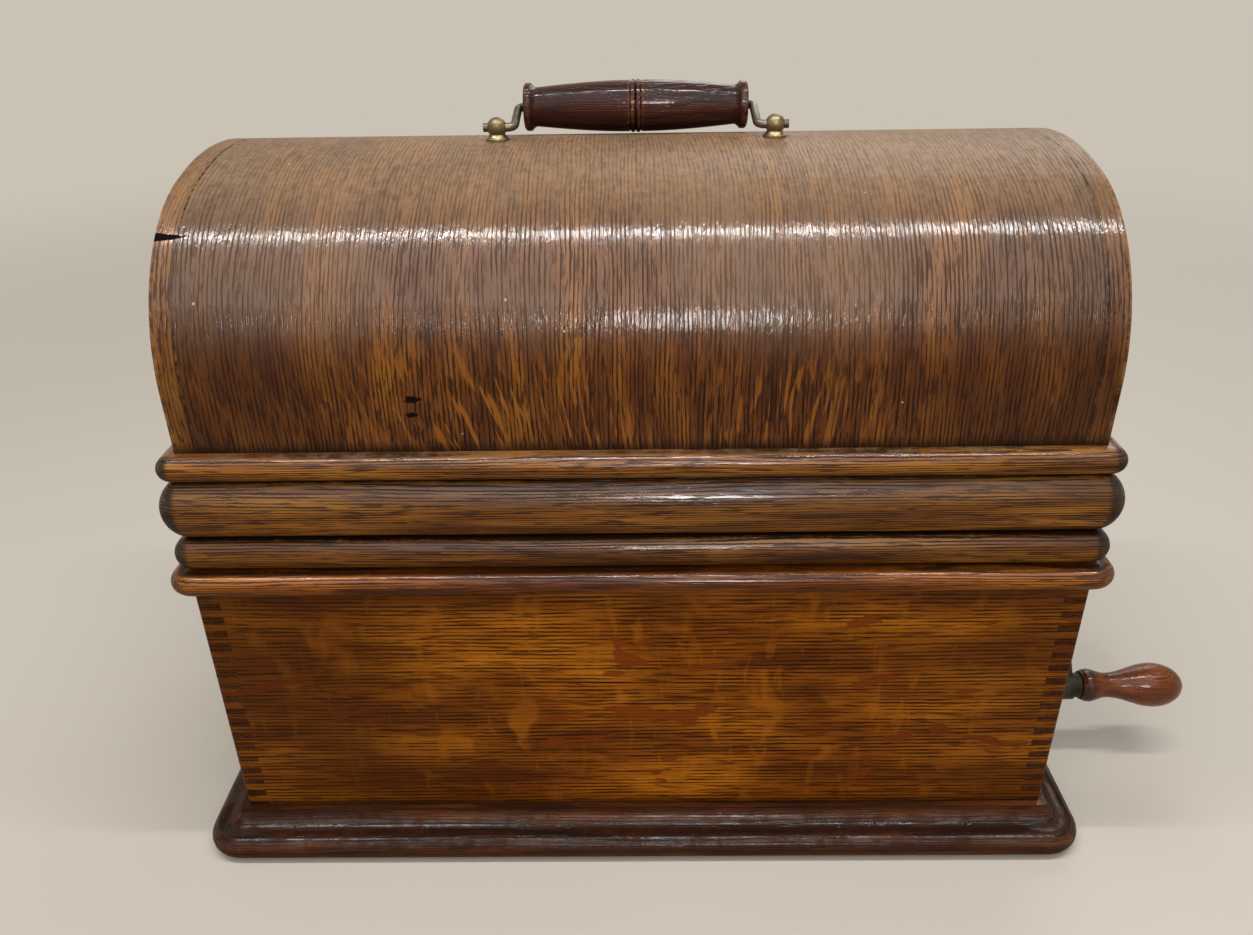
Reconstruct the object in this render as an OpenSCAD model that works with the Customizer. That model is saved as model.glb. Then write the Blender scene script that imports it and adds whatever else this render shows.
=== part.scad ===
// Spring-wound cylinder machine in a finger-jointed oak case with a bentwood lid.
// Millimetres. Origin at the middle of the underside, front at -Y, crank at +X.

/* [Case] */
// Width of the box over its side panels
case_width = 370; // [333:1:410]
// Depth of the box over its front and back panels
case_depth = 205; // [186:1:226]
// Height of the box panels, table to deck underside
case_height = 141; // [127:1:156]
// Thickness of the box boards
board = 10; // [8:0.5:12]
// Finger and gap pairs in each corner joint
finger_pairs = 20; // [14:1:26]
// Rounding of the upright corners of the box
corner_round = 2; // [1:0.5:4]
// Thickness of the floor board
floor_thick = 9; // [6:1:12]

/* [Base moulding] */
// How far the base stands out from the box
base_overhang = 18; // [16:0.5:22]
// Height of the base moulding
base_height = 19; // [17:0.5:21]
// Radius of the bullnose along the foot
base_nose = 6; // [5.5:0.25:6.75]
// Flat ledge between the box and the hollow
base_ledge = 3; // [1:0.5:4]
// Rounding of the ledge where the base turns a corner
base_turn = 2; // [1:0.5:4]

/* [Deck] */
// How far the deck board stands out from the box
deck_overhang = 8; // [6:0.5:9.5]
// Thickness of the deck board
deck_thick = 9.5; // [8:0.5:12]
// Rounding of the flat of the deck board where it turns a corner
deck_turn = 6; // [3:0.5:9]

/* [Lid mouldings] */
// Parting gap between deck and lid
lid_gap = 0.2; // [0.1:0.1:0.5]
// Width of the lid rim, box face to lid opening
lid_wall = 15; // [12:0.5:17]
// Height of the lower bead
lower_height = 14.5; // [12:0.5:17]
// How far the lower bead stands out from the box
lower_overhang = 4; // [2:0.5:6]
// Depth of the lower bead from its nose to its quirk
lower_depth = 6; // [4:0.5:7]
// Height of the belly bead
belly_height = 26; // [23:0.5:30]
// How far the belly bead stands out from the box
belly_overhang = 5.5; // [4.5:0.5:6.5]
// Depth of the belly bead from its nose to its quirk
belly_depth = 8; // [6:0.5:11]
// Height of the top bead
top_height = 10.5; // [9:0.5:13]
// How far the top bead stands out from the box
top_overhang = 3; // [1:0.5:5]
// Depth of the top bead from its nose to its quirk
top_depth = 5; // [3:0.25:5]
// Rounding of the quirks where the beads turn a corner
bead_turn = 1; // [0.5:0.25:3]

/* [Dome] */
// How far the dome stands in from the box on every side
dome_inset = 4.5; // [3:0.5:7]
// Upright part of the dome above the rim
dome_foot = 24; // [20:1:30]
// Rise of the arch above its upright part
dome_rise = 75; // [66:1:84]
// How far the haunches end below the crest
haunch_drop = 4; // [3:0.25:6]
// Thickness of the bent shell
dome_thick = 6; // [4:0.5:8]
// Thickness of the end boards where they show
end_thick = 9; // [7:0.5:12]
// Step inside each end board that carries the shell
end_step = 4; // [2:0.5:6]

/* [Handle] */
// Distance between the ball posts
post_span = 118; // [100:0.5:136]
// Radius of the balls
ball_radius = 4.2; // [3.5:0.1:5]
// Height of the ball centres above the crest
post_height = 5.3; // [4.8:0.1:7]
// Radius of the round flange under each ball
flange_radius = 5; // [4:0.25:7]
// Diameter of the bail wire
bail_wire = 3.6; // [3:0.1:4.2]
// Distance from the pivot line to the middle of the grip
bail_reach = 22; // [19.5:0.5:26]
// Space between each ball post and the end of the grip
grip_space = 10.25; // [9:0.25:14]
// Largest radius of the turned grip
grip_radius = 10.7; // [9.5:0.1:12]

/* [Crank] */
// Winding shaft, distance behind the middle of the case
crank_y = 8; // [4:1:12]
// Winding shaft, depth below the bed
crank_drop = 39; // [37:0.5:43]
// How far the arm stands off the box
arm_stand = 25.5; // [22:0.5:32]
// Length of the crank arm between its centres
arm_length = 82.5; // [70:0.5:95]
// Where the arm points at rest, from +Y towards +Z
arm_rest = 228.7; // [215:0.1:245]
// Length of the crank grip
crank_grip_length = 50; // [42:1:60]
// Largest radius of the crank grip
crank_grip_radius = 10.9; // [9.5:0.1:13]
// Radius of the winding shaft
wind_radius = 6; // [5:0.25:7]

/* [Bed] */
// Thickness of the cast bed
bed_thick = 7; // [6:0.5:9]
// From the box faces to the edges of the bed
bed_margin = 16.5; // [15:0.5:18.5]
// Width of the rails under the bed
rail_width = 14.5; // [13:0.5:17]
// Height of the rails under the bed
rail_height = 14; // [11:1:18]

/* [Mandrel] */
// Mandrel axis, distance from the middle of the case
mandrel_y = -14; // [-18:0.5:-10]
// Mandrel axis, height above the bed
mandrel_rise = 50; // [45:0.5:56]
// Radius of the mandrel at its thick end
mandrel_thick_radius = 23.2; // [22:0.1:26]
// Radius of the mandrel at its thin end
mandrel_thin_radius = 21.4; // [19:0.1:22]
// Length of the mandrel
mandrel_length = 107; // [96:0.5:118]
// Radius of the mandrel shaft in its bearings
mandrel_shaft_radius = 5; // [4:0.25:5.5]
// Radius of the feed screw
feed_radius = 6; // [5.5:0.1:7]
// Left edge of the bed to the mandrel pulley
pulley_edge = 10.5; // [6:0.5:16]
// Radius of the belt groove of the mandrel pulley
mandrel_pulley_radius = 22.5; // [20:0.25:26]
// Radius of the belt groove of the motor pulley
motor_pulley_radius = 15; // [13:0.25:17]

/* [Carriage] */
// Back rod, distance behind the middle of the case
rod_y = 46; // [42:0.5:50]
// Back rod, height above the mandrel axis
rod_rise = 16; // [13:0.5:18]
// Radius of the back rod
rod_radius = 6; // [5:0.25:7]
// Right edge of the bed to the end of the back rod
rod_edge = 24.5; // [18:0.5:27]
// Length of the sliding sleeve
sleeve_length = 60; // [50:1:68]
// Radius of the reproducer body
reproducer_radius = 17.5; // [15:0.25:20]

/* [Motor] */
// Teeth of the great wheel on the spring barrel
great_teeth = 60; // [54:1:64]
// Teeth of the wheel on the second arbor
second_teeth = 48; // [44:1:50]
// Teeth of the wheel on the pulley shaft
pulley_teeth = 40; // [36:1:42]
// Teeth of the winding wheel
wind_teeth = 30; // [27:1:33]
// Teeth of every pinion
pinion_teeth = 10; // [9:1:11]
// Radius of the spring barrel
barrel_radius = 38; // [33:0.5:42]
// Length of the spring barrel
barrel_length = 50; // [40:1:60]

/* [Catches] */
// How far the catches stand open at rest
catch_open = 16; // [12:0.5:18]

/* [Hidden] */
$fn = 64;
over = 1;
running = 0.05;
air = 0.3;

// Heights of the case
deck_top = case_height + deck_thick;
lid_z = deck_top + lid_gap;
belly_z = lid_z + lower_height;
top_z = belly_z + belly_height;
dome_z = top_z + top_height;
spring_z = dome_z + dome_foot;
crest_z = spring_z + dome_rise;

// Case halves and the finger pitch
half_x = case_width / 2;
half_y = case_depth / 2;
finger_pitch = case_height / finger_pairs;
cove_radius = base_height - 2 * base_nose;
nose_reach = base_overhang - base_nose;
open_x = half_x - lid_wall;
open_y = half_y - lid_wall;

// Arch of the dome: two haunches and one crown, each running into the next
dome_end = half_x - dome_inset;
dome_half = half_y - dome_inset;
shell_end = dome_end - end_thick;
haunch_radius = dome_rise - haunch_drop;
haunch_y = dome_half - haunch_radius;
crown_radius = (pow(haunch_y, 2) + pow(dome_rise, 2) - pow(haunch_radius, 2)) / (2 * haunch_drop);
crown_z = crest_z - crown_radius;
crown_angle = atan2(haunch_y, spring_z - crown_z);

// Handle: the bail lies back until the grip nears the crown
ball_z = crest_z + post_height;
flange_height = 1;
stem_radius = 2.8;
stem_steps = 6;
stud_radius = 2;
ball_drop = ball_z - crown_z;
grip_length = post_span - 2 * grip_space;
grip_bead_rise = 0.3;
grip_clear = crown_radius + grip_radius + grip_bead_rise + 2 * air;
bail_sine = (pow(grip_clear, 2) - pow(bail_reach, 2) - pow(ball_drop, 2)) / (2 * bail_reach * ball_drop);
bail_rest = asin(bail_sine);
bail_proud = 1.5;
bail_tuck = 0.2;
bail_end = post_span / 2 + ball_radius + bail_proud;
bail_bend = (grip_space - ball_radius) / 2;
bail_in = grip_length / 2 - bail_tuck;
grip_bore = bail_wire / 2 + running;
grip_lip = 3;
grip_lip_edge = 0.8;
grip_lip_drop = 0.7;
grip_cove = 2.5;
grip_neck_drop = 2.5;
grip_lip_radius = grip_radius - grip_lip_drop;
grip_neck_radius = grip_radius - grip_neck_drop;
grip_band = 2.8;
grip_groove = 0.5;
grip_steps = 14;
cove_steps = 5;

// Crank and its grip along X
escutcheon_radius = 14;
escutcheon_thick = 2.5;
bush_radius = 9;
arm_x = half_x + arm_stand;
arm_thick = 6;
hub_length = 14;
hub_x = arm_x + arm_thick - hub_length;
hub_radius = 10;
eye_radius = 7;
arm_root_half = 7.5;
arm_tip_half = 4.5;
ferrule_x = arm_x + arm_thick;
ferrule_length = 4;
ferrule_radius = 6.1;
spindle_radius = 3.5;
spindle_short = 10;
crank_grip_x = ferrule_x + ferrule_length + air;
crank_grip_collar = 8.2;
crank_grip_lip = 7;
crank_grip_neck = 6.1;
crank_grip_tip = 1.02;
collar_share = 0.07;
neck_share = 0.26;
bulb_share = 0.72;
crank_grip_steps = 26;

// Bed and what stands on it
bed_z = case_height;
bed_top = bed_z + bed_thick;
bed_half_x = half_x - bed_margin;
bed_half_y = half_y - bed_margin;
bed_corner = 8;
bed_flange = 4.5;
bed_step = 9;
deck_fit = 0.5;
screw_in_x = 48.5;
screw_in_y = 4;
screw_x = [screw_in_x - bed_half_x, 0, bed_half_x - screw_in_x];
screw_y = bed_half_y - screw_in_y;
screw_radius = 2;
screw_head_radius = 3.6;
screw_head = 2.2;
screw_deep = 10;

// Heights of the works, hung from the bed or standing on it
crank_z = bed_z - crank_drop;
arm_end_y = crank_y + arm_length * cos(arm_rest);
arm_end_z = crank_z + arm_length * sin(arm_rest);
mandrel_z = bed_top + mandrel_rise;
rod_z = mandrel_z + rod_rise;

// Mandrel shaft along X, from the left edge of the bed
pulley_width = 12;
pulley_flange = 2.5;
pulley_flange_rise = 2;
pulley_rim = 3.5;
pulley_hub = 4;
pulley_dish = 3;
pulley_air = 4;
shaft_proud = 2;
pulley_x = pulley_edge - bed_half_x;
shaft_left = pulley_x - shaft_proud;
standard_thick = 12;
standard_boss = 13;
standard_step = 2;
standard_leg = 14;
standard_shoulder = 4;
standard_foot = 18;
standard_foot_height = 6;
standard_window = 4;
standard_rib = 5;
left_standard_x = pulley_x + pulley_width + pulley_air;
centre_standard_x = -24;
feed_air = 2;
feed_x = left_standard_x + standard_thick + feed_air;
feed_length = centre_standard_x - feed_air - feed_x;
mandrel_air = 3;
mandrel_x = centre_standard_x + standard_thick + mandrel_air;
mandrel_end = mandrel_x + mandrel_length;
mandrel_wall = 2.4;
mandrel_web = 6;
cone_proud = 4;
cone_x = mandrel_end + cone_proud;
cone_tip = 0.5;
cone_length = mandrel_shaft_radius - cone_tip;
cone_air = air * sqrt(2);

// End gate on its post
gate_stand = 8;
gate_x = cone_x + gate_stand;
gate_reach = 28;
gate_y = mandrel_y + gate_reach;
gate_post_radius = 7;
gate_sleeve_radius = 8;
gate_pin_radius = 4;
gate_pin_proud = 1;
gate_cover = 1.5;
gate_boss = 9;
gate_arm_half = 6;
gate_arm_thick = 9;

// Belt
belt_in = 4;
belt_x = pulley_x + belt_in;
belt_width = pulley_width - 2 * belt_in;
belt_thick = 1.2;
belt_side = 4;
belt_front = 7.5;
belt_back = 5;

// Back rod, front rail and carriage
rod_left = left_standard_x;
rod_right = bed_half_x - rod_edge;
rod_post = 10;
rod_boss = 10;
edge_in = 20;
edge_y = edge_in - bed_half_y;
edge_half = 3;
edge_before = 10;
edge_left = centre_standard_x - edge_before;
edge_after = 6;
edge_right = gate_x + edge_after;
edge_rise = 14;
edge_top = mandrel_z + edge_rise;
edge_height = 12;
edge_post = 10;
edge_post_foot = 16;
edge_post_half = 6;
reproducer_start = 17;
reproducer_x = mandrel_x + reproducer_start;
sleeve_before = 28;
sleeve_x = reproducer_x - sleeve_before;
sleeve_radius = 10;
eye_length = 12;
eye_left = sleeve_x - air - eye_length;
eye_right = sleeve_x + sleeve_length + air;
arm_air = 6.8;
arm_plate_z = mandrel_z + mandrel_thick_radius + arm_air;
arm_plate = 6;
arm_plate_top = arm_plate_z + arm_plate;
arm_spine = 8;
arm_toe = 4;
arm_toe_proud = 1;
arm_ring = 4.5;
arm_back = 8;
arm_web = 8;
reproducer_low = 2;
reproducer_rim = 2;
weight_short = 3.5;
weight_radius = reproducer_radius - weight_short;
weight_thick = 3;
stylus_length = 1.2;
stylus_radius = 1;
neck_radius = 8;
neck_bore = 6.5;
neck_height = 18;
nut_start = 12;
nut_x = feed_x + nut_start;
nut_width = 10;
nut_root = 16;
nut_thick = 4;
nut_half = 9;
nut_bar = 8;
nut_low = 2;

// Motor: gear sizes and where each shaft stands
pressure = 25;
tooth_play = 0.06;
addendum = 0.85;
dedendum = 1.1;
great_module = 1.5;
second_module = 1.25;
pulley_module = 1.2;
wind_module = 2;
wind_dir = 130;
second_dir = 190;
train_dir = 130;
governor_dir = 100;
wind_reach = (wind_teeth + pinion_teeth) * wind_module / 2;
barrel_y = crank_y - wind_reach * cos(wind_dir);
barrel_z = crank_z - wind_reach * sin(wind_dir);
great_reach = (great_teeth + pinion_teeth) * great_module / 2;
second_y = barrel_y + great_reach * cos(second_dir);
second_z = barrel_z + great_reach * sin(second_dir);
train_reach = (second_teeth + pinion_teeth) * second_module / 2;
pulley_y = second_y + train_reach * cos(train_dir);
pulley_z = second_z + train_reach * sin(train_dir);
governor_reach = (pulley_teeth + pinion_teeth) * pulley_module / 2;
governor_y = pulley_y + governor_reach * cos(governor_dir);
governor_z = pulley_z + governor_reach * sin(governor_dir);

// Motor: places along X
motor_length = 120;
plate_left_x = left_standard_x + standard_thick;
plate_right_x = plate_left_x + motor_length;
plate_thick = 4;
plate_before = 22;
plate_behind = 30;
plate_under = 16;
plate_front = pulley_y - plate_before;
plate_back = barrel_y + plate_behind;
plate_low = second_z - plate_under;
plate_corner = 10;
plate_window = 15;
plate_window_rise = 10;
inner_left = plate_left_x + plate_thick;
pillar_radius = 4;
pillar_in = 8;
pillars = [
    [plate_front + pillar_in, plate_low + pillar_in],
    [crank_y - 2 * pillar_in, bed_z - pillar_in],
    [plate_back - pillar_in, bed_z - pillar_in]
];
arbor_radius = 6;
second_radius = 4;
pulley_shaft_radius = 3.5;
governor_radius = 2.5;
great_in = 8;
great_x = inner_left + great_in;
great_width = 6;
drum_x = great_x + great_width;
drum_wall = 2.5;
cap_thick = 3;
second_in = 1.5;
second_wheel_x = inner_left + second_in;
second_wheel_width = 4;
pinion_extra = 1;
pulley_wheel_in = 45;
pulley_wheel_x = inner_left + pulley_wheel_in;
pulley_wheel_width = 6;
wind_air = 3;
wind_wheel_x = plate_right_x + plate_thick + wind_air;
wind_wheel_width = 9;
wind_tail = 2;
shaft_right = plate_right_x + plate_thick;
wheel_hub = 4;
wheel_hub_radius = 8;
spring_turns = 6;
spring_steps = 26;
spring_thick = 1.4;
spring_side = 1;
spring_start = 2.5;
spring_end = 0.2;
spring_inner = arbor_radius + spring_start;
spring_outer = barrel_radius - drum_wall - spring_thick - spring_end;

// Governor and the two brakes
governor_in = 60;
governor_x = inner_left + governor_in;
collar_radius = 6;
collar_length = 8;
disc_out = 20;
disc_x = plate_right_x - disc_out;
disc_thick = 3;
disc_radius = 16;
ball_reach = 13.5;
weight_ball = 5.5;
weight_length = 9;
leaf_thick = 0.6;
leaf_width = 5;
weight_count = 3;
brake_gap = 0.4;
brake_long = 6;
brake_half = 4;
brake_rise = 10;
brake_low = governor_z + brake_rise;
coil_wire = 0.8;
coil_turns = 8;
coil_steps = 16;
coil_sides = 6;
coil_air = 8;
coil_x = wind_wheel_x + wind_wheel_width + coil_air;
coil_pitch = 2.3;
coil_mean = wind_radius + air + coil_wire;

// Levers on the bed
speed_in = 26;
speed_x = left_standard_x + speed_in;
speed_y = edge_y;
speed_radius = 3;
speed_head = 7;
speed_head_height = 8;
speed_edge = 1;
speed_lift = 3;
speed_low = 21;
lever_after = 56;
lever_x = speed_x + lever_after;
lever_in = 14;
lever_y = lever_in - bed_half_y;
lever_length = 38;
lever_hub = 6;
lever_root_half = 4.5;
lever_tip_half = 2.5;
lever_thick = 3;
lever_knob = 4;
lever_knob_neck = 2.5;
lever_knob_height = 9;
lever_pivot_radius = 2.5;

// End catches
catch_pin_out = 9;
catch_pin_x = half_x + catch_pin_out;
catch_pin_up = 1;
catch_pin_z = belly_z + belly_height / 2 + catch_pin_up;
catch_pin_radius = 1.6;
catch_knuckle = 3;
catch_half = 7;
catch_thick = 1.5;
catch_curl = 3;
catch_foot = 8.5;
catch_length = catch_pin_z - case_height + air + catch_thick;
catch_plate_half = 14;
catch_plate_thick = 2.5;
catch_plate_x = half_x + belly_overhang - catch_plate_thick;
catch_plate_height = 18;
catch_lug = 5;

// Local x, y, z become Y, Z, X
module along_x(x, y, z) {
    translate([x, y, z])
        rotate([90, 0, 90])
            children();
}

module rod_x(x, y, z, length, radius) {
    along_x(x, y, z)
        cylinder(h = length, r = radius);
}

module box(x0, x1, y0, y1, z0, z1) {
    translate([x0, y0, z0])
        cube([x1 - x0, y1 - y0, z1 - z0]);
}

// Rectangle with round corners, centred
module round_rect(w, d, r) {
    square([w - 2 * r, d], center = true);
    square([w, d - 2 * r], center = true);
    for (sx = [-1, 1], sy = [-1, 1])
        translate([sx * (w / 2 - r), sy * (d / 2 - r)])
            circle(r = r);
}

// Runs a section round a rectangle and turns it about a core point at each corner;
// the first child is the section across X, the second across Y
module run_round(core_x, core_y) {
    translate([0, core_y, 0])
        rotate([90, 0, 0])
            linear_extrude(2 * core_y)
                children(0);
    translate([-core_x, 0, 0])
        rotate([90, 0, 90])
            linear_extrude(2 * core_x)
                children(1);
    for (sx = [-1, 1], sy = [-1, 1])
        translate([sx * core_x, sy * core_y, 0])
            rotate([0, 0, atan2(sy, sx) - 45])
                rotate_extrude(angle = 90)
                    intersection() {
                        translate([-core_x, 0])
                            children(0);
                        square([case_width, case_width]);
                    }
}

// Section of a bead of given height, nose overhang and depth, for one half width
module bead_section(half, z, height, overhang, depth) {
    flat = half + overhang - depth;
    radius = (pow(height / 2, 2) + pow(depth, 2)) / (2 * depth);
    translate([-flat, z])
        square([2 * flat, height]);
    for (s = [-1, 1])
        intersection() {
            translate([s * (half + overhang - radius), z + height / 2])
                circle(r = radius);
            translate([s * (flat + depth / 2), z + height / 2])
                square([depth + 2 * over, height], center = true);
        }
}

module bead_ring(z, height, overhang, depth) {
    core = overhang - depth - bead_turn;
    difference() {
        run_round(half_x + core, half_y + core) {
            bead_section(half_x, z, height, overhang, depth);
            bead_section(half_y, z, height, overhang, depth);
        }
        box(-open_x, open_x, -open_y, open_y, z - over, z + height + over);
    }
}

// Section of the base: ledge, hollow and bullnose
module base_section(half) {
    nose = half + nose_reach;
    arris = half + base_ledge;
    translate([-arris, 0])
        square([2 * arris, base_height]);
    translate([-nose, 0])
        square([2 * nose, 2 * base_nose]);
    for (s = [-1, 1]) {
        translate([s * nose, base_nose])
            circle(r = base_nose);
        difference() {
            translate([s * (arris + cove_radius / 2), base_height - cove_radius / 2])
                square([cove_radius, cove_radius], center = true);
            translate([s * (arris + cove_radius), base_height])
                circle(r = cove_radius);
        }
    }
}

module base_moulding() {
    core = base_ledge - base_turn;
    color("#2a1a10")
        difference() {
            run_round(half_x + core, half_y + core) {
                base_section(half_x);
                base_section(half_y);
            }
            translate([0, 0, -over])
                linear_extrude(base_height + 2 * over)
                    round_rect(case_width, case_depth, corner_round);
        }
}

module bottom_board() {
    color("#8a6238")
        box(board - half_x, half_x - board, board - half_y, half_y - board, 0, floor_thick);
}

module box_column() {
    linear_extrude(case_height)
        round_rect(case_width, case_depth, corner_round);
}

// Fingers left standing on both ends of the front and back boards
module front_board(side) {
    outer = side * half_y;
    inner = side * (half_y - board);
    intersection() {
        box_column();
        difference() {
            box(-half_x, half_x, min(outer, inner), max(outer, inner), 0, case_height);
            for (s = [-1, 1], k = [0 : finger_pairs - 1])
                translate([s * (half_x - board / 2), (outer + inner) / 2, (k + 0.75) * finger_pitch])
                    cube([board, board + 2 * over, finger_pitch / 2], center = true);
        }
    }
}

module side_board(side) {
    outer = side * half_x;
    inner = side * (half_x - board);
    intersection() {
        box_column();
        difference() {
            box(min(outer, inner), max(outer, inner), -half_y, half_y, 0, case_height);
            for (s = [-1, 1], k = [0 : finger_pairs - 1])
                translate([(outer + inner) / 2, s * (half_y - board / 2), (k + 0.25) * finger_pitch])
                    cube([board + 2 * over, board, finger_pitch / 2], center = true);
        }
    }
}

module front_panel() {
    color("#9a5f28")
        front_board(-1);
}

module back_panel() {
    color("#9a5f28")
        front_board(1);
}

module left_panel() {
    color("#94592a")
        side_board(-1);
}

module right_panel() {
    color("#94592a")
        difference() {
            side_board(1);
            rod_x(half_x - board - over, crank_y, crank_z, board + 2 * over, bush_radius);
        }
}

module deck_section(half) {
    nose = deck_thick / 2;
    reach = half + deck_overhang - nose;
    translate([-reach, case_height])
        square([2 * reach, deck_thick]);
    for (s = [-1, 1])
        translate([s * reach, case_height + nose])
            circle(r = nose);
}

module deck_frame() {
    core = deck_overhang - deck_thick / 2 - deck_turn;
    fit_x = bed_half_x + deck_fit;
    fit_y = bed_half_y + deck_fit;
    color("#7a3a1c")
        difference() {
            run_round(half_x + core, half_y + core) {
                deck_section(half_x);
                deck_section(half_y);
            }
            box(-fit_x, fit_x, -fit_y, fit_y, case_height - over, deck_top + over);
        }
}

module bed_rails() {
    inner = half_y - board;
    color("#8a6238")
        difference() {
            for (s = [-1, 1])
                translate([0, s * (inner - rail_width / 2), case_height - rail_height / 2])
                    cube([case_width - 2 * board, rail_width, rail_height], center = true);
            screw_holes();
        }
}

module screw_holes() {
    for (x = screw_x, s = [-1, 1])
        translate([x, s * screw_y, bed_z - screw_deep])
            cylinder(h = screw_deep + bed_thick + over, r = screw_radius);
}

module bedplate_screws() {
    color("#b08d4a")
        for (x = screw_x, s = [-1, 1])
            translate([x, s * screw_y, bed_z - screw_deep]) {
                cylinder(h = screw_deep + bed_flange, r = screw_radius);
                translate([0, 0, screw_deep + bed_flange])
                    cylinder(h = screw_head, r = screw_head_radius);
            }
}

module crank_escutcheon() {
    color("#b08d4a")
        difference() {
            union() {
                rod_x(half_x - board, crank_y, crank_z, board, bush_radius);
                rod_x(half_x, crank_y, crank_z, escutcheon_thick, escutcheon_radius);
            }
            rod_x(half_x - board - over, crank_y, crank_z, board + escutcheon_thick + 2 * over,
                wind_radius + running);
        }
}

// Bed casting: a screwed flange round a raised middle, with the belt slot and the gate post
module bedplate() {
    slot_front = pulley_y - motor_pulley_radius - belt_front;
    slot_back = mandrel_y + mandrel_pulley_radius + belt_back;
    color("#1c1c1e")
        difference() {
            union() {
                translate([0, 0, bed_z])
                    linear_extrude(bed_flange)
                        round_rect(2 * bed_half_x, 2 * bed_half_y, bed_corner);
                translate([0, 0, bed_z])
                    linear_extrude(bed_thick)
                        round_rect(2 * (bed_half_x - bed_step), 2 * (bed_half_y - bed_step), bed_corner);
                translate([gate_x, gate_y, bed_z])
                    cylinder(h = bed_thick + mandrel_rise - standard_boss, r = gate_post_radius);
                translate([gate_x, gate_y, bed_z])
                    cylinder(h = bed_thick + mandrel_rise + standard_boss, r = gate_pin_radius);
                translate([lever_x, lever_y, bed_z])
                    cylinder(h = bed_thick + lever_thick + 2 * air, r = lever_pivot_radius);
            }
            box(belt_x - belt_side, belt_x + belt_width + belt_side, slot_front, slot_back,
                bed_z - over, bed_top + over);
            translate([speed_x, speed_y, bed_z - over])
                cylinder(h = bed_thick + 2 * over, r = speed_radius + running);
            screw_holes();
        }
}

// Side plate of the motor with its shaft holes
module motor_plate(x, wind) {
    width = plate_back - plate_front;
    height = bed_z - plate_low;
    difference() {
        along_x(x, plate_front + width / 2, plate_low)
            linear_extrude(plate_thick)
                intersection() {
                    translate([0, (height + plate_corner) / 2])
                        round_rect(width, height + plate_corner, plate_corner);
                    translate([-width / 2, 0])
                        square([width, height]);
                }
        plate_hole(x, barrel_y, barrel_z, arbor_radius + running);
        plate_hole(x, second_y, second_z, second_radius + running);
        plate_hole(x, pulley_y, pulley_z, pulley_shaft_radius + running);
        plate_hole(x, governor_y, governor_z, governor_radius + running);
        if (wind)
            plate_hole(x, crank_y, crank_z, wind_radius + running);
        else
            plate_hole(x, barrel_y, crank_z + plate_window_rise, plate_window);
    }
}

module plate_hole(x, y, z, radius) {
    rod_x(x - over, y, z, plate_thick + 2 * over, radius);
}

module motor_plate_left() {
    color("#2a2a2c")
        motor_plate(plate_left_x, false);
}

module motor_plate_right() {
    color("#2a2a2c")
        motor_plate(plate_right_x, true);
}

module motor_pillars() {
    color("#8c8f94")
        for (p = pillars)
            rod_x(inner_left, p[0], p[1], plate_right_x - inner_left, pillar_radius);
}

// Cast post across X: a flanged foot, a tapered leg with a window and a round bearing boss
module standard(x, y, rise, thick, boss, bore) {
    neck = boss - standard_shoulder;
    low = standard_foot_height + standard_window + standard_rib;
    high = rise - boss - standard_window - standard_rib;
    difference() {
        union() {
            along_x(x + standard_step, y, bed_top)
                linear_extrude(thick - 2 * standard_step)
                    difference() {
                        polygon([[-standard_leg, 0], [standard_leg, 0], [neck, rise], [-neck, rise]]);
                        for (z = [low, high])
                            translate([0, z])
                                circle(r = standard_window);
                        translate([-standard_window, low])
                            square([2 * standard_window, high - low]);
                    }
            along_x(x, y, bed_top)
                linear_extrude(thick)
                    translate([-standard_foot, 0])
                        square([2 * standard_foot, standard_foot_height]);
            rod_x(x, y, bed_top + rise, thick, boss);
        }
        rod_x(x - over, y, bed_top + rise, thick + 2 * over, bore);
    }
}

module left_standard() {
    color("#1c1c1e")
        standard(left_standard_x, mandrel_y, mandrel_rise, standard_thick, standard_boss,
            mandrel_shaft_radius + running);
}

module centre_standard() {
    color("#1c1c1e")
        standard(centre_standard_x, mandrel_y, mandrel_rise, standard_thick, standard_boss,
            mandrel_shaft_radius + running);
}

module rod_posts() {
    color("#1c1c1e")
        for (x = [rod_left, rod_right - rod_post])
            standard(x, rod_y, mandrel_rise + rod_rise, rod_post, rod_boss, rod_radius);
}

module back_rod() {
    color("#c4c6c9")
        rod_x(rod_left, rod_y, rod_z, rod_right - rod_left, rod_radius);
}

// Front rail on two tapered posts
module straight_edge() {
    low = edge_top - edge_height;
    spread = (edge_post_foot - edge_post) / 2;
    color("#c4c6c9")
        union() {
            box(edge_left, edge_right, edge_y - edge_half, edge_y + edge_half, low, edge_top);
            for (x = [edge_left, edge_right - edge_post])
                translate([x, edge_y + edge_post_half, 0])
                    rotate([90, 0, 0])
                        linear_extrude(2 * edge_post_half)
                            polygon([[-spread, bed_top], [edge_post + spread, bed_top],
                                [edge_post, low], [0, low]]);
        }
}

module governor_brake() {
    brake_x = disc_x + disc_thick + brake_gap;
    color("#6b3b22")
        box(brake_x, brake_x + brake_long, governor_y - brake_half, governor_y + brake_half,
            brake_low, bed_z);
}

// Ring of the coil at a given step, round its wire, starting and ending at the top of the shaft
function coil_ring(k) =
    let (a = 90 + 360 * k / coil_steps, x = coil_x + coil_pitch * k / coil_steps)
        [for (j = [0 : coil_sides - 1])
            let (b = 360 * j / coil_sides, r = coil_mean + coil_wire * cos(b))
                [x + coil_wire * sin(b), crank_y + r * cos(a), crank_z + r * sin(a)]];

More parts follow.
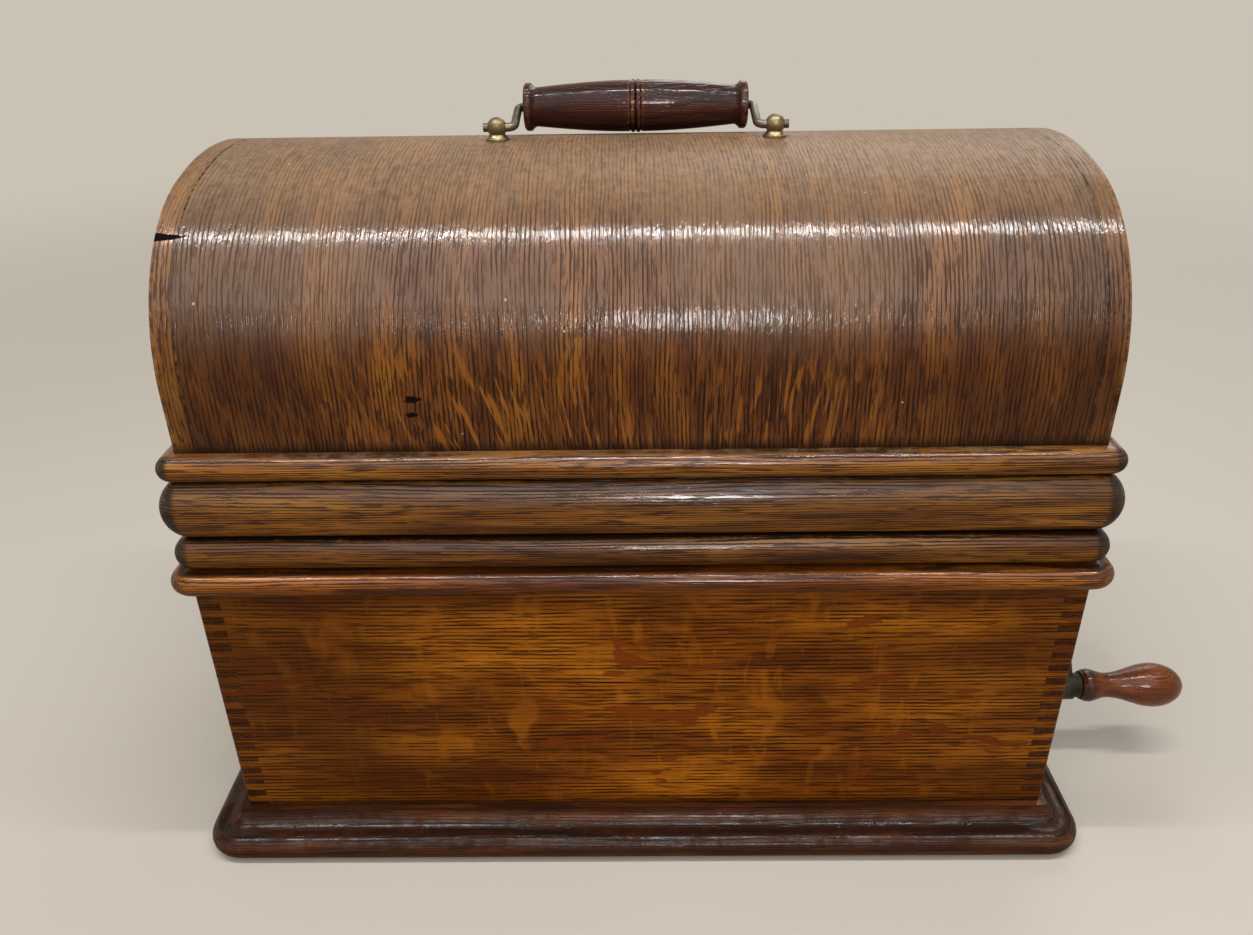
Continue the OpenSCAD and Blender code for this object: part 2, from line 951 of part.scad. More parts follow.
// Spring brake: one wire wound round the winding shaft, its end held by a pin under the bed
module winding_brake() {
    last = coil_turns * coil_steps;
    points = [for (k = [0 : last], p = coil_ring(k)) p];
    function at(k, j) = k * coil_sides + j % coil_sides;
    color("#8c8f94") {
        polyhedron(points, concat(
            [[for (j = [coil_sides - 1 : -1 : 0]) at(0, j)]],
            [for (k = [0 : last - 1], j = [0 : coil_sides - 1]) [at(k, j), at(k + 1, j + 1), at(k + 1, j)]],
            [for (k = [0 : last - 1], j = [0 : coil_sides - 1]) [at(k, j), at(k, j + 1), at(k + 1, j + 1)]],
            [[for (j = [0 : coil_sides - 1]) at(last, j)]]
        ));
        translate([coil_x + coil_turns * coil_pitch, crank_y, crank_z + coil_mean])
            cylinder(h = bed_z - crank_z - coil_mean, r = coil_wire);
    }
}

// Outline of an open belt run over both pulleys, spread outwards
module belt_outline(spread) {
    hull() {
        circle(r = motor_pulley_radius + spread);
        translate([mandrel_y - pulley_y, mandrel_z - pulley_z])
            circle(r = mandrel_pulley_radius + spread);
    }
}

module drive_belt() {
    color("#5a3a22")
        along_x(belt_x, pulley_y, pulley_z)
            linear_extrude(belt_width)
                difference() {
                    belt_outline(air + belt_thick);
                    belt_outline(air);
                }
}

module lid_lower_bead() {
    color("#4a2e18")
        bead_ring(lid_z, lower_height, lower_overhang, lower_depth);
}

// Belly bead, let in at both ends for the catch plates
module lid_belly_bead() {
    color("#4a2e18")
        difference() {
            bead_ring(belly_z, belly_height, belly_overhang, belly_depth);
            for (s = [-1, 1])
                translate([s * (catch_plate_x + belly_depth), 0, catch_pin_z])
                    cube([2 * belly_depth, 2 * catch_plate_half, catch_plate_height], center = true);
        }
}

module lid_top_bead() {
    color("#4a2e18")
        bead_ring(top_z, top_height, top_overhang, top_depth);
}

// Section of the dome across X, shrunk inwards by the given amount
module dome_section(shrink) {
    half = dome_half - shrink;
    haunch = haunch_radius - shrink;
    crown = crown_radius - shrink;
    side = crown * sin(crown_angle);
    translate([-half, dome_z])
        square([2 * half, dome_foot]);
    for (s = [-1, 1])
        translate([s * haunch_y, spring_z])
            intersection() {
                circle(r = haunch);
                translate([s * haunch / 2, haunch / 2])
                    square([haunch + 2 * haunch_y, haunch], center = true);
            }
    intersection() {
        translate([0, crown_z])
            circle(r = crown, $fn = 4 * $fn);
        polygon([[-side, crown_z + crown * cos(crown_angle)], [-haunch_y, spring_z], [haunch_y, spring_z],
            [side, crown_z + crown * cos(crown_angle)], [side, crest_z + over], [-side, crest_z + over]]);
    }
}

module dome_block(x, length, shrink) {
    along_x(x, 0, 0)
        linear_extrude(length)
            dome_section(shrink);
}

module lid_dome() {
    color("#6b4423")
        difference() {
            dome_block(-shell_end, 2 * shell_end, 0);
            dome_block(-shell_end - over, 2 * (shell_end + over), dome_thick);
            for (s = [-1, 1])
                translate([s * post_span / 2, 0, crest_z - 2 * dome_thick])
                    cylinder(h = 3 * dome_thick, r = stud_radius);
        }
}

// End board: full outline where it shows, stepped inside to carry the shell
module end_board() {
    dome_block(shell_end, end_thick, 0);
    dome_block(shell_end - end_step, end_step, dome_thick);
}

module lid_end_left() {
    color("#6b4423")
        mirror([1, 0, 0])
            end_board();
}

module lid_end_right() {
    color("#6b4423")
        end_board();
}

// Ball post in one turned profile: stud, flange, flared stem and drilled ball
function stem_curve(t) = stem_radius + (flange_radius - stem_radius) * pow(1 - t, 3);

module handle_posts() {
    stem = post_height - flange_height;
    side = [for (k = [0 : stem_steps]) [stem_curve(k / stem_steps), flange_height + stem * k / stem_steps]];
    color("#a39064")
        for (s = [-1, 1])
            translate([s * post_span / 2, 0, crest_z])
                difference() {
                    union() {
                        rotate_extrude()
                            polygon(concat(
                                [[0, -dome_thick], [stud_radius, -dome_thick],
                                    [stud_radius, 0], [flange_radius, 0]],
                                side,
                                [[0, post_height]]
                            ));
                        translate([0, 0, post_height])
                            sphere(r = ball_radius);
                    }
                    rod_x(-ball_radius - over, 0, post_height, 2 * (ball_radius + over), grip_bore);
                }
}

// Bail drawn flat on the pivot line, reach along Y, then leaned to where it lies
module bail_frame() {
    translate([0, 0, ball_z])
        rotate([bail_rest, 0, 0])
            children();
}

module handle_bail() {
    wire = bail_wire / 2;
    inside = bail_in + 2 * bail_bend;
    color("#8f8a7c")
        bail_frame() {
            rod_x(-bail_in, bail_reach, 0, 2 * bail_in, wire);
            for (s = [0, 1])
                mirror([s, 0, 0]) {
                    rod_x(inside, 0, 0, bail_end - inside, wire);
                    translate([inside, bail_bend, 0])
                        rotate([0, 0, 180])
                            rotate_extrude(angle = 90)
                                translate([bail_bend, 0])
                                    circle(r = wire, $fn = 32);
                    translate([inside - bail_bend, bail_bend, 0])
                        rotate([-90, 0, 0])
                            cylinder(h = bail_reach - 2 * bail_bend, r = wire);
                    translate([bail_in, bail_reach - bail_bend, 0])
                        rotate_extrude(angle = 90)
                            translate([bail_bend, 0])
                                circle(r = wire, $fn = 32);
                }
        }
}

// Half profile of the turned grip: swelling from the neck, with a cove behind the lip
function grip_curve(t) = grip_neck_radius + (grip_radius - grip_neck_radius) * sin(90 * t);
function grip_flare(t) = grip_lip_radius - (grip_lip_radius - grip_neck_radius) * sin(90 * t);

module handle_grip() {
    half = grip_length / 2;
    start = grip_lip + grip_cove;
    run = half - start - grip_band;
    cove = [for (k = [0 : cove_steps]) [grip_flare(k / cove_steps), grip_lip + grip_cove * k / cove_steps]];
    side = [for (k = [1 : grip_steps]) [grip_curve(k / grip_steps), start + run * k / grip_steps]];
    bead = grip_radius + grip_bead_rise;
    groove = grip_radius - grip_groove;
    outer = concat(
        [[grip_lip_radius - grip_lip_edge, 0], [grip_lip_radius, grip_lip_edge]],
        cove,
        side,
        [[groove, half - grip_band + grip_groove], [bead, half - grip_band + 2 * grip_groove],
            [bead, half - grip_groove], [groove, half]]
    );
    back = [for (k = [len(outer) - 2 : -1 : 0]) [outer[k][0], grip_length - outer[k][1]]];
    color("#2e120e")
        bail_frame()
            along_x(-half, bail_reach, 0)
                rotate_extrude()
                    polygon(concat([[grip_bore, 0]], outer, back, [[grip_bore, grip_length]]));
}

module catch_plates() {
    color("#b08d4a")
        for (s = [0, 1])
            mirror([s, 0, 0])
                union() {
                    box(catch_plate_x, catch_plate_x + catch_plate_thick, -catch_plate_half, catch_plate_half,
                        catch_pin_z - catch_plate_height / 2, catch_pin_z + catch_plate_height / 2);
                    for (t = [-1, 1])
                        translate([catch_pin_x, t * (catch_plate_half - catch_lug / 2), catch_pin_z]) {
                            rotate([90, 0, 0])
                                cylinder(h = catch_lug, r = catch_knuckle, center = true);
                            translate([-catch_knuckle, 0, 0])
                                cube([2 * catch_knuckle, catch_lug, 2 * catch_knuckle], center = true);
                        }
                    translate([catch_pin_x, 0, catch_pin_z])
                        rotate([90, 0, 0])
                            cylinder(h = 2 * catch_plate_half, r = catch_pin_radius, center = true);
                }
}

// Catch hanging from its pin: blade, foot and curled finger hold, drawn closed and then swung open
module catch_lever() {
    drop = catch_length;
    translate([catch_pin_x, 0, catch_pin_z])
        rotate([0, -catch_open, 0])
            difference() {
                union() {
                    rotate([90, 0, 0])
                        cylinder(h = 2 * catch_half, r = catch_knuckle, center = true);
                    box(catch_knuckle - catch_thick, catch_knuckle, -catch_half, catch_half, -drop, 0);
                    box(catch_knuckle - catch_foot, catch_knuckle, -catch_half, catch_half,
                        -drop, catch_thick - drop);
                    translate([catch_knuckle + catch_curl, catch_half, -drop])
                        rotate([90, 0, 0])
                            rotate([0, 0, 180])
                                rotate_extrude(angle = 90)
                                    translate([catch_curl, 0])
                                        square([catch_thick, 2 * catch_half]);
                }
                rotate([90, 0, 0])
                    cylinder(h = 2 * catch_half + 2 * over, r = catch_pin_radius + running, center = true);
            }
}

module left_catch() {
    color("#b08d4a")
        mirror([1, 0, 0])
            catch_lever();
}

module right_catch() {
    color("#b08d4a")
        catch_lever();
}

// Involute teeth in outline; the first tooth points along the local x axis
function inv(a) = tan(a) * 180 / PI - a;
function tooth_half(teeth, m, r) =
    90 / teeth * (1 - tooth_play) + inv(pressure)
    - inv(acos(min(1, teeth * m / 2 * cos(pressure) / r)));
function polar(r, a) = [r * cos(a), r * sin(a)];

module gear_outline(teeth, m) {
    pitch = teeth * m / 2;
    root = pitch - dedendum * m;
    radii = [root, (root + pitch) / 2, pitch, pitch + addendum * m];
    polygon([
        for (i = [0 : teeth - 1], k = [0 : 7])
            let (r = radii[k < 4 ? k : 7 - k], side = k < 4 ? -1 : 1)
                polar(r, i * 360 / teeth + side * tooth_half(teeth, m, r))
    ]);
}

module gear(x, y, z, teeth, m, width, phase) {
    along_x(x, y, z)
        rotate([0, 0, phase])
            linear_extrude(width)
                gear_outline(teeth, m);
}

module winding_shaft() {
    color("#8c8f94")
        union() {
            rod_x(plate_right_x - wind_tail, crank_y, crank_z, arm_x + arm_thick - plate_right_x + wind_tail,
                wind_radius);
            gear(wind_wheel_x, crank_y, crank_z, pinion_teeth, wind_module, wind_wheel_width,
                wind_dir + 180 + 180 / pinion_teeth);
        }
}

// Arm with its hub, eye, ferrule and the spindle for the grip
module crank_arm() {
    color("#55575b")
        difference() {
            union() {
                rod_x(hub_x, crank_y, crank_z, hub_length, hub_radius);
                along_x(arm_x, crank_y, crank_z)
                    rotate([0, 0, arm_rest])
                        linear_extrude(arm_thick)
                            polygon([[0, -arm_root_half], [arm_length, -arm_tip_half],
                                [arm_length, arm_tip_half], [0, arm_root_half]]);
                rod_x(arm_x, arm_end_y, arm_end_z, arm_thick, eye_radius);
                rod_x(ferrule_x, arm_end_y, arm_end_z, ferrule_length, ferrule_radius);
                rod_x(ferrule_x, arm_end_y, arm_end_z, crank_grip_length - spindle_short, spindle_radius);
            }
            rod_x(hub_x - over, crank_y, crank_z, hub_length + 2 * over, wind_radius);
        }
}

// Grip profile: bead collar, neck, then a bulb that closes at the far end
function swell(a, b, t) = a + (b - a) * (1 - cos(180 * t)) / 2;
function bulb_curve(t) =
    t < collar_share ? crank_grip_lip + (crank_grip_collar - crank_grip_lip) * sin(90 * t / collar_share)
    : t < neck_share
    ? swell(crank_grip_collar, crank_grip_neck, (t - collar_share) / (neck_share - collar_share))
    : t < bulb_share
    ? swell(crank_grip_neck, crank_grip_radius, (t - neck_share) / (bulb_share - neck_share))
    : crank_grip_radius * sqrt(1 - pow((t - bulb_share) / (crank_grip_tip - bulb_share), 2));

module crank_grip() {
    side = [for (k = [0 : crank_grip_steps])
        [bulb_curve(k / crank_grip_steps), crank_grip_length * k / crank_grip_steps]];
    hole = crank_grip_length - spindle_short;
    color("#6e2f18")
        difference() {
            along_x(crank_grip_x, arm_end_y, arm_end_z)
                rotate_extrude()
                    polygon(concat([[0, 0]], side, [[0, crank_grip_length]]));
            rod_x(crank_grip_x - over, arm_end_y, arm_end_z, hole, spindle_radius + running);
        }
}

module barrel_arbor() {
    color("#8c8f94")
        union() {
            rod_x(plate_left_x, barrel_y, barrel_z, wind_wheel_x + wind_wheel_width - plate_left_x,
                arbor_radius);
            gear(wind_wheel_x, barrel_y, barrel_z, wind_teeth, wind_module, wind_wheel_width, wind_dir);
        }
}

// Barrel with the great wheel on its closed end
module spring_barrel() {
    color("#b08d4a")
        difference() {
            union() {
                gear(great_x, barrel_y, barrel_z, great_teeth, great_module, great_width, second_dir);
                rod_x(drum_x, barrel_y, barrel_z, barrel_length, barrel_radius);
            }
            rod_x(drum_x, barrel_y, barrel_z, barrel_length + over, barrel_radius - drum_wall);
            rod_x(great_x - over, barrel_y, barrel_z, great_width + 2 * over, arbor_radius + running);
        }
}

module barrel_cap() {
    color("#b08d4a")
        difference() {
            rod_x(drum_x + barrel_length, barrel_y, barrel_z, cap_thick, barrel_radius);
            rod_x(drum_x + barrel_length - over, barrel_y, barrel_z, cap_thick + 2 * over,
                arbor_radius + running);
        }
}

// Flat spring wound in a spiral inside the barrel
function coil_radius(k) =
    spring_inner + (spring_outer - spring_inner) * k / (spring_turns * spring_steps);

module mainspring() {
    last = spring_turns * spring_steps;
    color("#6a6d72")
        along_x(drum_x + spring_side, barrel_y, barrel_z)
            linear_extrude(barrel_length - 2 * spring_side)
                polygon(concat(
                    [for (k = [0 : last]) polar(coil_radius(k), 360 * k / spring_steps)],
                    [for (k = [last : -1 : 0]) polar(coil_radius(k) + spring_thick, 360 * k / spring_steps)]
                ));
}

module second_arbor() {
    reach = second_wheel_x + second_wheel_width;
    color("#8c8f94")
        union() {
            rod_x(plate_left_x, second_y, second_z, shaft_right - plate_left_x, second_radius);
            gear(reach, second_y, second_z, pinion_teeth, great_module,
                great_x + great_width + pinion_extra - reach, second_dir + 180 + 180 / pinion_teeth);
            gear(second_wheel_x, second_y, second_z, second_teeth, second_module, second_wheel_width,
                train_dir);
        }
}

module pulley_shaft() {
    color("#8c8f94")
        union() {
            rod_x(shaft_left, pulley_y, pulley_z, shaft_right - shaft_left, pulley_shaft_radius);
            gear(second_wheel_x - pinion_extra, pulley_y, pulley_z, pinion_teeth, second_module,
                second_wheel_width + 2 * pinion_extra, train_dir + 180 + 180 / pinion_teeth);
            gear(pulley_wheel_x, pulley_y, pulley_z, pulley_teeth, pulley_module, pulley_wheel_width,
                governor_dir);
            rod_x(pulley_wheel_x + pulley_wheel_width, pulley_y, pulley_z, wheel_hub, wheel_hub_radius);
        }
}

// Flat pulley with two flanges, dished between hub and rim
module pulley(y, z, groove, bore) {
    difference() {
        union() {
            rod_x(pulley_x, y, z, pulley_width, groove);
            for (x = [pulley_x, pulley_x + pulley_width - pulley_flange])
                rod_x(x, y, z, pulley_flange, groove + pulley_flange_rise);
        }
        rod_x(pulley_x - over, y, z, pulley_width + 2 * over, bore);
        for (x = [pulley_x - over, pulley_x + pulley_width - pulley_dish])
            difference() {
                rod_x(x, y, z, pulley_dish + over, groove - pulley_rim);
                rod_x(x - over, y, z, pulley_dish + 3 * over, bore + pulley_hub);
            }
    }
}

module motor_pulley() {
    color("#b08d4a")
        pulley(pulley_y, pulley_z, motor_pulley_radius, pulley_shaft_radius);
}

module governor_shaft() {
    color("#8c8f94")
        union() {
            rod_x(plate_left_x, governor_y, governor_z, shaft_right - plate_left_x, governor_radius);
            gear(pulley_wheel_x - pinion_extra, governor_y, governor_z, pinion_teeth, pulley_module,
                pulley_wheel_width + 2 * pinion_extra, governor_dir + 180 + 180 / pinion_teeth);
            rod_x(governor_x, governor_y, governor_z, collar_length, collar_radius);
        }
}

module governor_place(k) {
    along_x(0, governor_y, governor_z)
        rotate([0, 0, 360 * k / weight_count])
            children();
}

// Leaf springs between the fixed collar and the disc, bowed out to the weights
module governor_springs() {
    left = governor_x + collar_length;
    right = disc_x;
    mid = (left + right) / 2;
    foot = collar_radius - leaf_thick;
    color("#9ea1a6")
        for (k = [0 : weight_count - 1])
            governor_place(k)
                translate([0, leaf_width / 2, 0])
                    rotate([90, 0, 0])
                        linear_extrude(leaf_width)
                            polygon([[foot, left], [ball_reach - weight_ball, mid], [foot, right],
                                [foot + leaf_thick, right], [ball_reach - weight_ball + leaf_thick, mid],
                                [foot + leaf_thick, left]]);
}

module governor_weights() {
    mid = (governor_x + collar_length + disc_x) / 2;
    low = ball_reach - weight_ball + leaf_thick;
    color("#6a6d72")
        for (k = [0 : weight_count - 1])
            governor_place(k)
                translate([low, 0, mid])
                    rotate([0, 90, 0])
                        cylinder(h = weight_length, r = weight_ball);
}

module governor_disc() {
    color("#b08d4a")
        difference() {
            union() {
                rod_x(disc_x, governor_y, governor_z, disc_thick, disc_radius);
                rod_x(disc_x, governor_y, governor_z, collar_length, collar_radius - leaf_thick);
            }
            rod_x(disc_x - over, governor_y, governor_z, collar_length + 2 * over, governor_radius);
        }
}

// Shaft through pulley, feed screw and mandrel, pointed for the gate
module mandrel_shaft() {
    color("#c4c6c9")
        union() {
            rod_x(shaft_left, mandrel_y, mandrel_z, cone_x - shaft_left, mandrel_shaft_radius);
            rod_x(feed_x, mandrel_y, mandrel_z, feed_length, feed_radius);
            along_x(cone_x, mandrel_y, mandrel_z)
                cylinder(h = cone_length, r1 = mandrel_shaft_radius, r2 = cone_tip);
        }
}

module mandrel() {
    color("#d4d6d8")
        along_x(mandrel_x, mandrel_y, mandrel_z)
            difference() {
                cylinder(h = mandrel_length, r1 = mandrel_thick_radius, r2 = mandrel_thin_radius);
                translate([0, 0, mandrel_web])
                    cylinder(h = mandrel_length - 2 * mandrel_web, r1 = mandrel_thick_radius - mandrel_wall,
                        r2 = mandrel_thin_radius - mandrel_wall);
                translate([0, 0, -over])
                    cylinder(h = mandrel_length + 2 * over, r = mandrel_shaft_radius);
            }
}

module mandrel_pulley() {
    color("#1c1c1e")
        pulley(mandrel_y, mandrel_z, mandrel_pulley_radius, mandrel_shaft_radius);
}

module carriage_sleeve() {
    color("#c4c6c9")
        difference() {
            rod_x(sleeve_x, rod_y, rod_z, sleeve_length, sleeve_radius);
            rod_x(sleeve_x - over, rod_y, rod_z, sleeve_length + 2 * over, rod_radius + running);
        }
}

// Left or right edge of the arm at a given depth, running from the eyes to the ring
function arm_side(back_x, ring_x, y) =
    back_x + (ring_x - back_x) * (rod_y - arm_back - y) / (rod_y - arm_back - mandrel_y);

// Plan of the carriage arm: back bar, open frame, ring and a tongue to the front rail
module arm_plan(ring, front) {
    seat = rod_y - arm_back;
    ends = [eye_left, eye_right + eye_length];
    sides = [reproducer_x - ring, reproducer_x + ring];
    back_y = seat - arm_web / 2;
    ring_y = mandrel_y + ring + arm_web / 2;
    translate([ends[0], seat])
        square([ends[1] - ends[0], 2 * arm_back]);
    difference() {
        polygon([[ends[0], seat], [ends[1], seat], [sides[1], mandrel_y], [sides[0], mandrel_y]]);
        polygon([
            [arm_side(ends[0], sides[0], back_y) + arm_web, back_y],
            [arm_side(ends[1], sides[1], back_y) - arm_web, back_y],
            [arm_side(ends[1], sides[1], ring_y) - arm_web, ring_y],
            [arm_side(ends[0], sides[0], ring_y) + arm_web, ring_y]
        ]);
    }
    translate([reproducer_x, mandrel_y])
        circle(r = ring);
    polygon([[reproducer_x - arm_spine, mandrel_y], [reproducer_x + arm_spine, mandrel_y],
        [reproducer_x + arm_toe, front], [reproducer_x - arm_toe, front]]);
}

// Arm with two eyes on the rod, a ring for the reproducer and a foot on the front rail
module carriage_arm() {
    front = edge_y - edge_half - arm_toe_proud;
    color("#1c1c1e")
        difference() {
            union() {
                for (x = [eye_left, eye_right])
                    along_x(x, rod_y, rod_z)
                        linear_extrude(eye_length) {
                            circle(r = rod_boss);
                            translate([-arm_back, 0])
                                square([2 * arm_back, arm_plate_top - rod_z]);
                        }
                translate([0, 0, arm_plate_z])
                    linear_extrude(arm_plate)
                        arm_plan(reproducer_radius + arm_ring, front);
                box(reproducer_x - arm_toe, reproducer_x + arm_toe, front, edge_y + edge_half,
                    edge_top + air, arm_plate_top);
            }
            for (x = [eye_left, eye_right])
                rod_x(x - over, rod_y, rod_z, eye_length + 2 * over, rod_radius + running);
            translate([reproducer_x, mandrel_y, arm_plate_z - over])
                cylinder(h = arm_plate + 2 * over, r = reproducer_radius);
        }
}

// Bar along the rod and a tapered finger whose nut straddles the feed screw
module half_nut() {
    top = arm_plate_z + nut_thick;
    front = mandrel_y - nut_half;
    color("#b08d4a")
        difference() {
            union() {
                box(nut_x, eye_left, rod_y - nut_bar, rod_y, arm_plate_z, top);
                translate([0, 0, arm_plate_z])
                    linear_extrude(nut_thick)
                        polygon([[nut_x, front], [nut_x + nut_width, front],
                            [nut_x + nut_root, rod_y], [nut_x, rod_y]]);
                box(nut_x, nut_x + nut_width, front, mandrel_y + nut_half, mandrel_z + nut_low, top);
            }
            rod_x(nut_x - over, mandrel_y, mandrel_z, nut_width + 2 * over, feed_radius + air);
        }
}

// Body with its weight and stylus below and the neck for a horn above
module reproducer() {
    body_low = arm_plate_z - reproducer_low;
    body_top = arm_plate_top;
    weight_z = body_low - weight_thick;
    color("#d4d6d8")
        translate([reproducer_x, mandrel_y, 0])
            difference() {
                union() {
                    translate([0, 0, body_low])
                        cylinder(h = body_top - body_low, r = reproducer_radius);
                    translate([0, 0, body_top])
                        cylinder(h = reproducer_rim, r = reproducer_radius + reproducer_rim);
                    translate([0, 0, weight_z])
                        cylinder(h = weight_thick, r = weight_radius);
                    translate([0, 0, weight_z - stylus_length])
                        cylinder(h = stylus_length, r = stylus_radius);
                    translate([0, 0, body_top])
                        cylinder(h = neck_height, r = neck_radius);
                }
                translate([0, 0, body_top + reproducer_rim])
                    cylinder(h = neck_height, r = neck_bore);
            }
}

// Gate swinging on its post, with a hollow for the point of the shaft
module end_gate() {
    low = mandrel_z - standard_boss + air;
    high = mandrel_z + standard_boss - gate_pin_proud;
    boss_x = cone_x + gate_cover;
    arm_end = gate_x - gate_pin_radius + gate_arm_thick;
    recess = mandrel_shaft_radius - gate_cover + cone_air;
    color("#1c1c1e")
        difference() {
            union() {
                translate([gate_x, gate_y, low])
                    cylinder(h = high - low, r = gate_sleeve_radius);
                along_x(gate_x - gate_pin_radius, mandrel_y, mandrel_z)
                    linear_extrude(gate_arm_thick)
                        polygon([[0, -gate_boss], [gate_reach, -gate_arm_half],
                            [gate_reach, gate_arm_half], [0, gate_boss]]);
                rod_x(boss_x, mandrel_y, mandrel_z, arm_end - boss_x, gate_boss);
            }
            translate([gate_x, gate_y, low - over])
                cylinder(h = high - low + 2 * over, r = gate_pin_radius + running);
            along_x(boss_x, mandrel_y, mandrel_z)
                cylinder(h = recess, r1 = recess, r2 = 0);
        }
}

// Tapered lever with a turned knob
module start_lever() {
    color("#c4c6c9")
        translate([lever_x, lever_y, bed_top + air])
            difference() {
                union() {
                    cylinder(h = lever_thick, r = lever_hub);
                    linear_extrude(lever_thick)
                        polygon([[0, -lever_root_half], [0, lever_root_half],
                            [-lever_length, lever_tip_half], [-lever_length, -lever_tip_half]]);
                    translate([-lever_length, 0, 0])
                        rotate_extrude()
                            polygon([[0, 0], [lever_knob, 0], [lever_knob, lever_thick],
                                [lever_knob_neck, lever_thick + air],
                                [lever_knob, lever_knob_height - lever_thick],
                                [lever_knob_neck, lever_knob_height], [0, lever_knob_height]]);
                }
                translate([0, 0, -over])
                    cylinder(h = lever_thick + 2 * over, r = lever_pivot_radius + running);
            }
}

// Screw with a thumb head, turned in one profile
module speed_screw() {
    foot = -speed_low;
    seat = bed_thick + speed_lift;
    top = seat + speed_head_height;
    color("#b08d4a")
        translate([speed_x, speed_y, bed_z])
            rotate_extrude()
                polygon([[0, foot], [speed_radius, foot], [speed_radius, seat],
                    [speed_head - speed_edge, seat], [speed_head, seat + speed_edge],
                    [speed_head, top - speed_edge], [speed_head - speed_edge, top], [0, top]]);
}

base_moulding();
bottom_board();
front_panel();
back_panel();
left_panel();
right_panel();
deck_frame();
bed_rails();
crank_escutcheon();
bedplate();
bedplate_screws();
motor_plate_left();
motor_plate_right();
motor_pillars();
left_standard();
centre_standard();
rod_posts();
back_rod();
straight_edge();
governor_brake();
winding_brake();
drive_belt();
lid_lower_bead();
lid_belly_bead();
lid_top_bead();
lid_dome();
lid_end_left();
lid_end_right();
handle_posts();
catch_plates();
handle_bail();
handle_grip();
left_catch();
right_catch();
winding_shaft();
crank_arm();
crank_grip();
barrel_arbor();
spring_barrel();
barrel_cap();
mainspring();
second_arbor();
pulley_shaft();
motor_pulley();
governor_shaft();
governor_springs();
governor_weights();
governor_disc();
mandrel_shaft();
mandrel();
mandrel_pulley();
carriage_sleeve();
carriage_arm();
half_nut();
reproducer();
end_gate();
start_lever();
speed_screw();
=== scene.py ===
import math

import bmesh
import bpy
from mathutils import Matrix, Vector


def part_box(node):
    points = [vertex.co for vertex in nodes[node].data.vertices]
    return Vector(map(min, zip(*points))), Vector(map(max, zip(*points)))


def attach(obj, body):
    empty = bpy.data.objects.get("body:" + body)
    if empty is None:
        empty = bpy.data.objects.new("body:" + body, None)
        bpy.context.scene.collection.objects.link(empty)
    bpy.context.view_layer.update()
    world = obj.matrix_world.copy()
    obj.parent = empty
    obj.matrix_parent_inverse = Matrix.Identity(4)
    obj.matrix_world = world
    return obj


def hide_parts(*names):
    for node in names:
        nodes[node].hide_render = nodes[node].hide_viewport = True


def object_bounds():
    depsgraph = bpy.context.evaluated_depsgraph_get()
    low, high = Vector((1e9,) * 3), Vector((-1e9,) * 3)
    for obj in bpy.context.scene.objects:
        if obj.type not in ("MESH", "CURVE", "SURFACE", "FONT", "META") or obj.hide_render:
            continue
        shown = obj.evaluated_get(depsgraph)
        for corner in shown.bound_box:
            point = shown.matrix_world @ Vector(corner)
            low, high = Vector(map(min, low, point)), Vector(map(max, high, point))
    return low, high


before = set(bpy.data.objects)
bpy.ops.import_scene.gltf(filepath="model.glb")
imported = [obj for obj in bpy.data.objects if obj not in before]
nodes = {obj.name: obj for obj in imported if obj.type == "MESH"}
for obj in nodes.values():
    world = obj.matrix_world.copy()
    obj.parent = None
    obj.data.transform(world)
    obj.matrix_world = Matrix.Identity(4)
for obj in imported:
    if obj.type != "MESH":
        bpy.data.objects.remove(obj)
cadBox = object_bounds()
scene = bpy.context.scene
scene.view_settings.view_transform = "Standard"


# corners and middle of a node's box
def lows(node):
    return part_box(node)[0]


def highs(node):
    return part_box(node)[1]


def middle(node):
    return (lows(node) + highs(node)) / 2.0


def mitreOf(node):
    # where the long sides of a frame give way to its ends
    return highs(node).x - highs(node).y


# camera, fitted to the photograph (metres, degrees, pixels)
camera = {
    "place": (0.0, -0.4439, 0.3775),
    "yaw": -0.80,
    "pitch": 27.95,
    "roll": -0.90,
    "focal": 1003.8,
    "wide": 1253,
    "sensor": 36.0,   # millimetres
    "clip": 0.01,
}


def makeCamera(spec):
    yaw, pitch, roll = (math.radians(spec[turn]) for turn in ("yaw", "pitch", "roll"))
    ahead = Vector((math.sin(yaw) * math.cos(pitch), math.cos(yaw) * math.cos(pitch), -math.sin(pitch)))
    level = Vector((math.cos(yaw), -math.sin(yaw), 0.0))
    over = level.cross(ahead)
    side = math.cos(roll) * level + math.sin(roll) * over
    up = math.cos(roll) * over - math.sin(roll) * level
    data = bpy.data.cameras.new("photoCamera")
    data.sensor_width = spec["sensor"]
    data.lens = spec["focal"] / spec["wide"] * spec["sensor"]
    data.clip_start = spec["clip"]
    made = bpy.data.objects.new("photoCamera", data)
    turned = Matrix((side, up, -ahead)).transposed().to_4x4()
    made.matrix_world = Matrix.Translation(spec["place"]) @ turned
    scene.collection.objects.link(made)
    scene.camera = made


makeCamera(camera)
print("camera placed")

# screen colours to linear ones
screenCurve = {"full": 255.0, "knee": 0.04045, "slope": 12.92, "lift": 0.055, "power": 2.4}


def tone(r, g, b):
    def linear(level):
        share = level / screenCurve["full"]
        if share <= screenCurve["knee"]:
            return share / screenCurve["slope"]
        return ((share + screenCurve["lift"]) / (1.0 + screenCurve["lift"])) ** screenCurve["power"]
    return (linear(r), linear(g), linear(b), 1.0)


# small helpers for shader nodes
def plug(tree, socket, value):
    if isinstance(value, bpy.types.NodeSocket):
        tree.links.new(value, socket)
    else:
        socket.default_value = value


def addNode(tree, kind, sockets=None, **settings):
    made = tree.nodes.new("ShaderNode" + kind)
    for key, value in settings.items():
        setattr(made, key, value)
    for name, value in (sockets or {}).items():
        plug(tree, made.inputs[name], value)
    return made


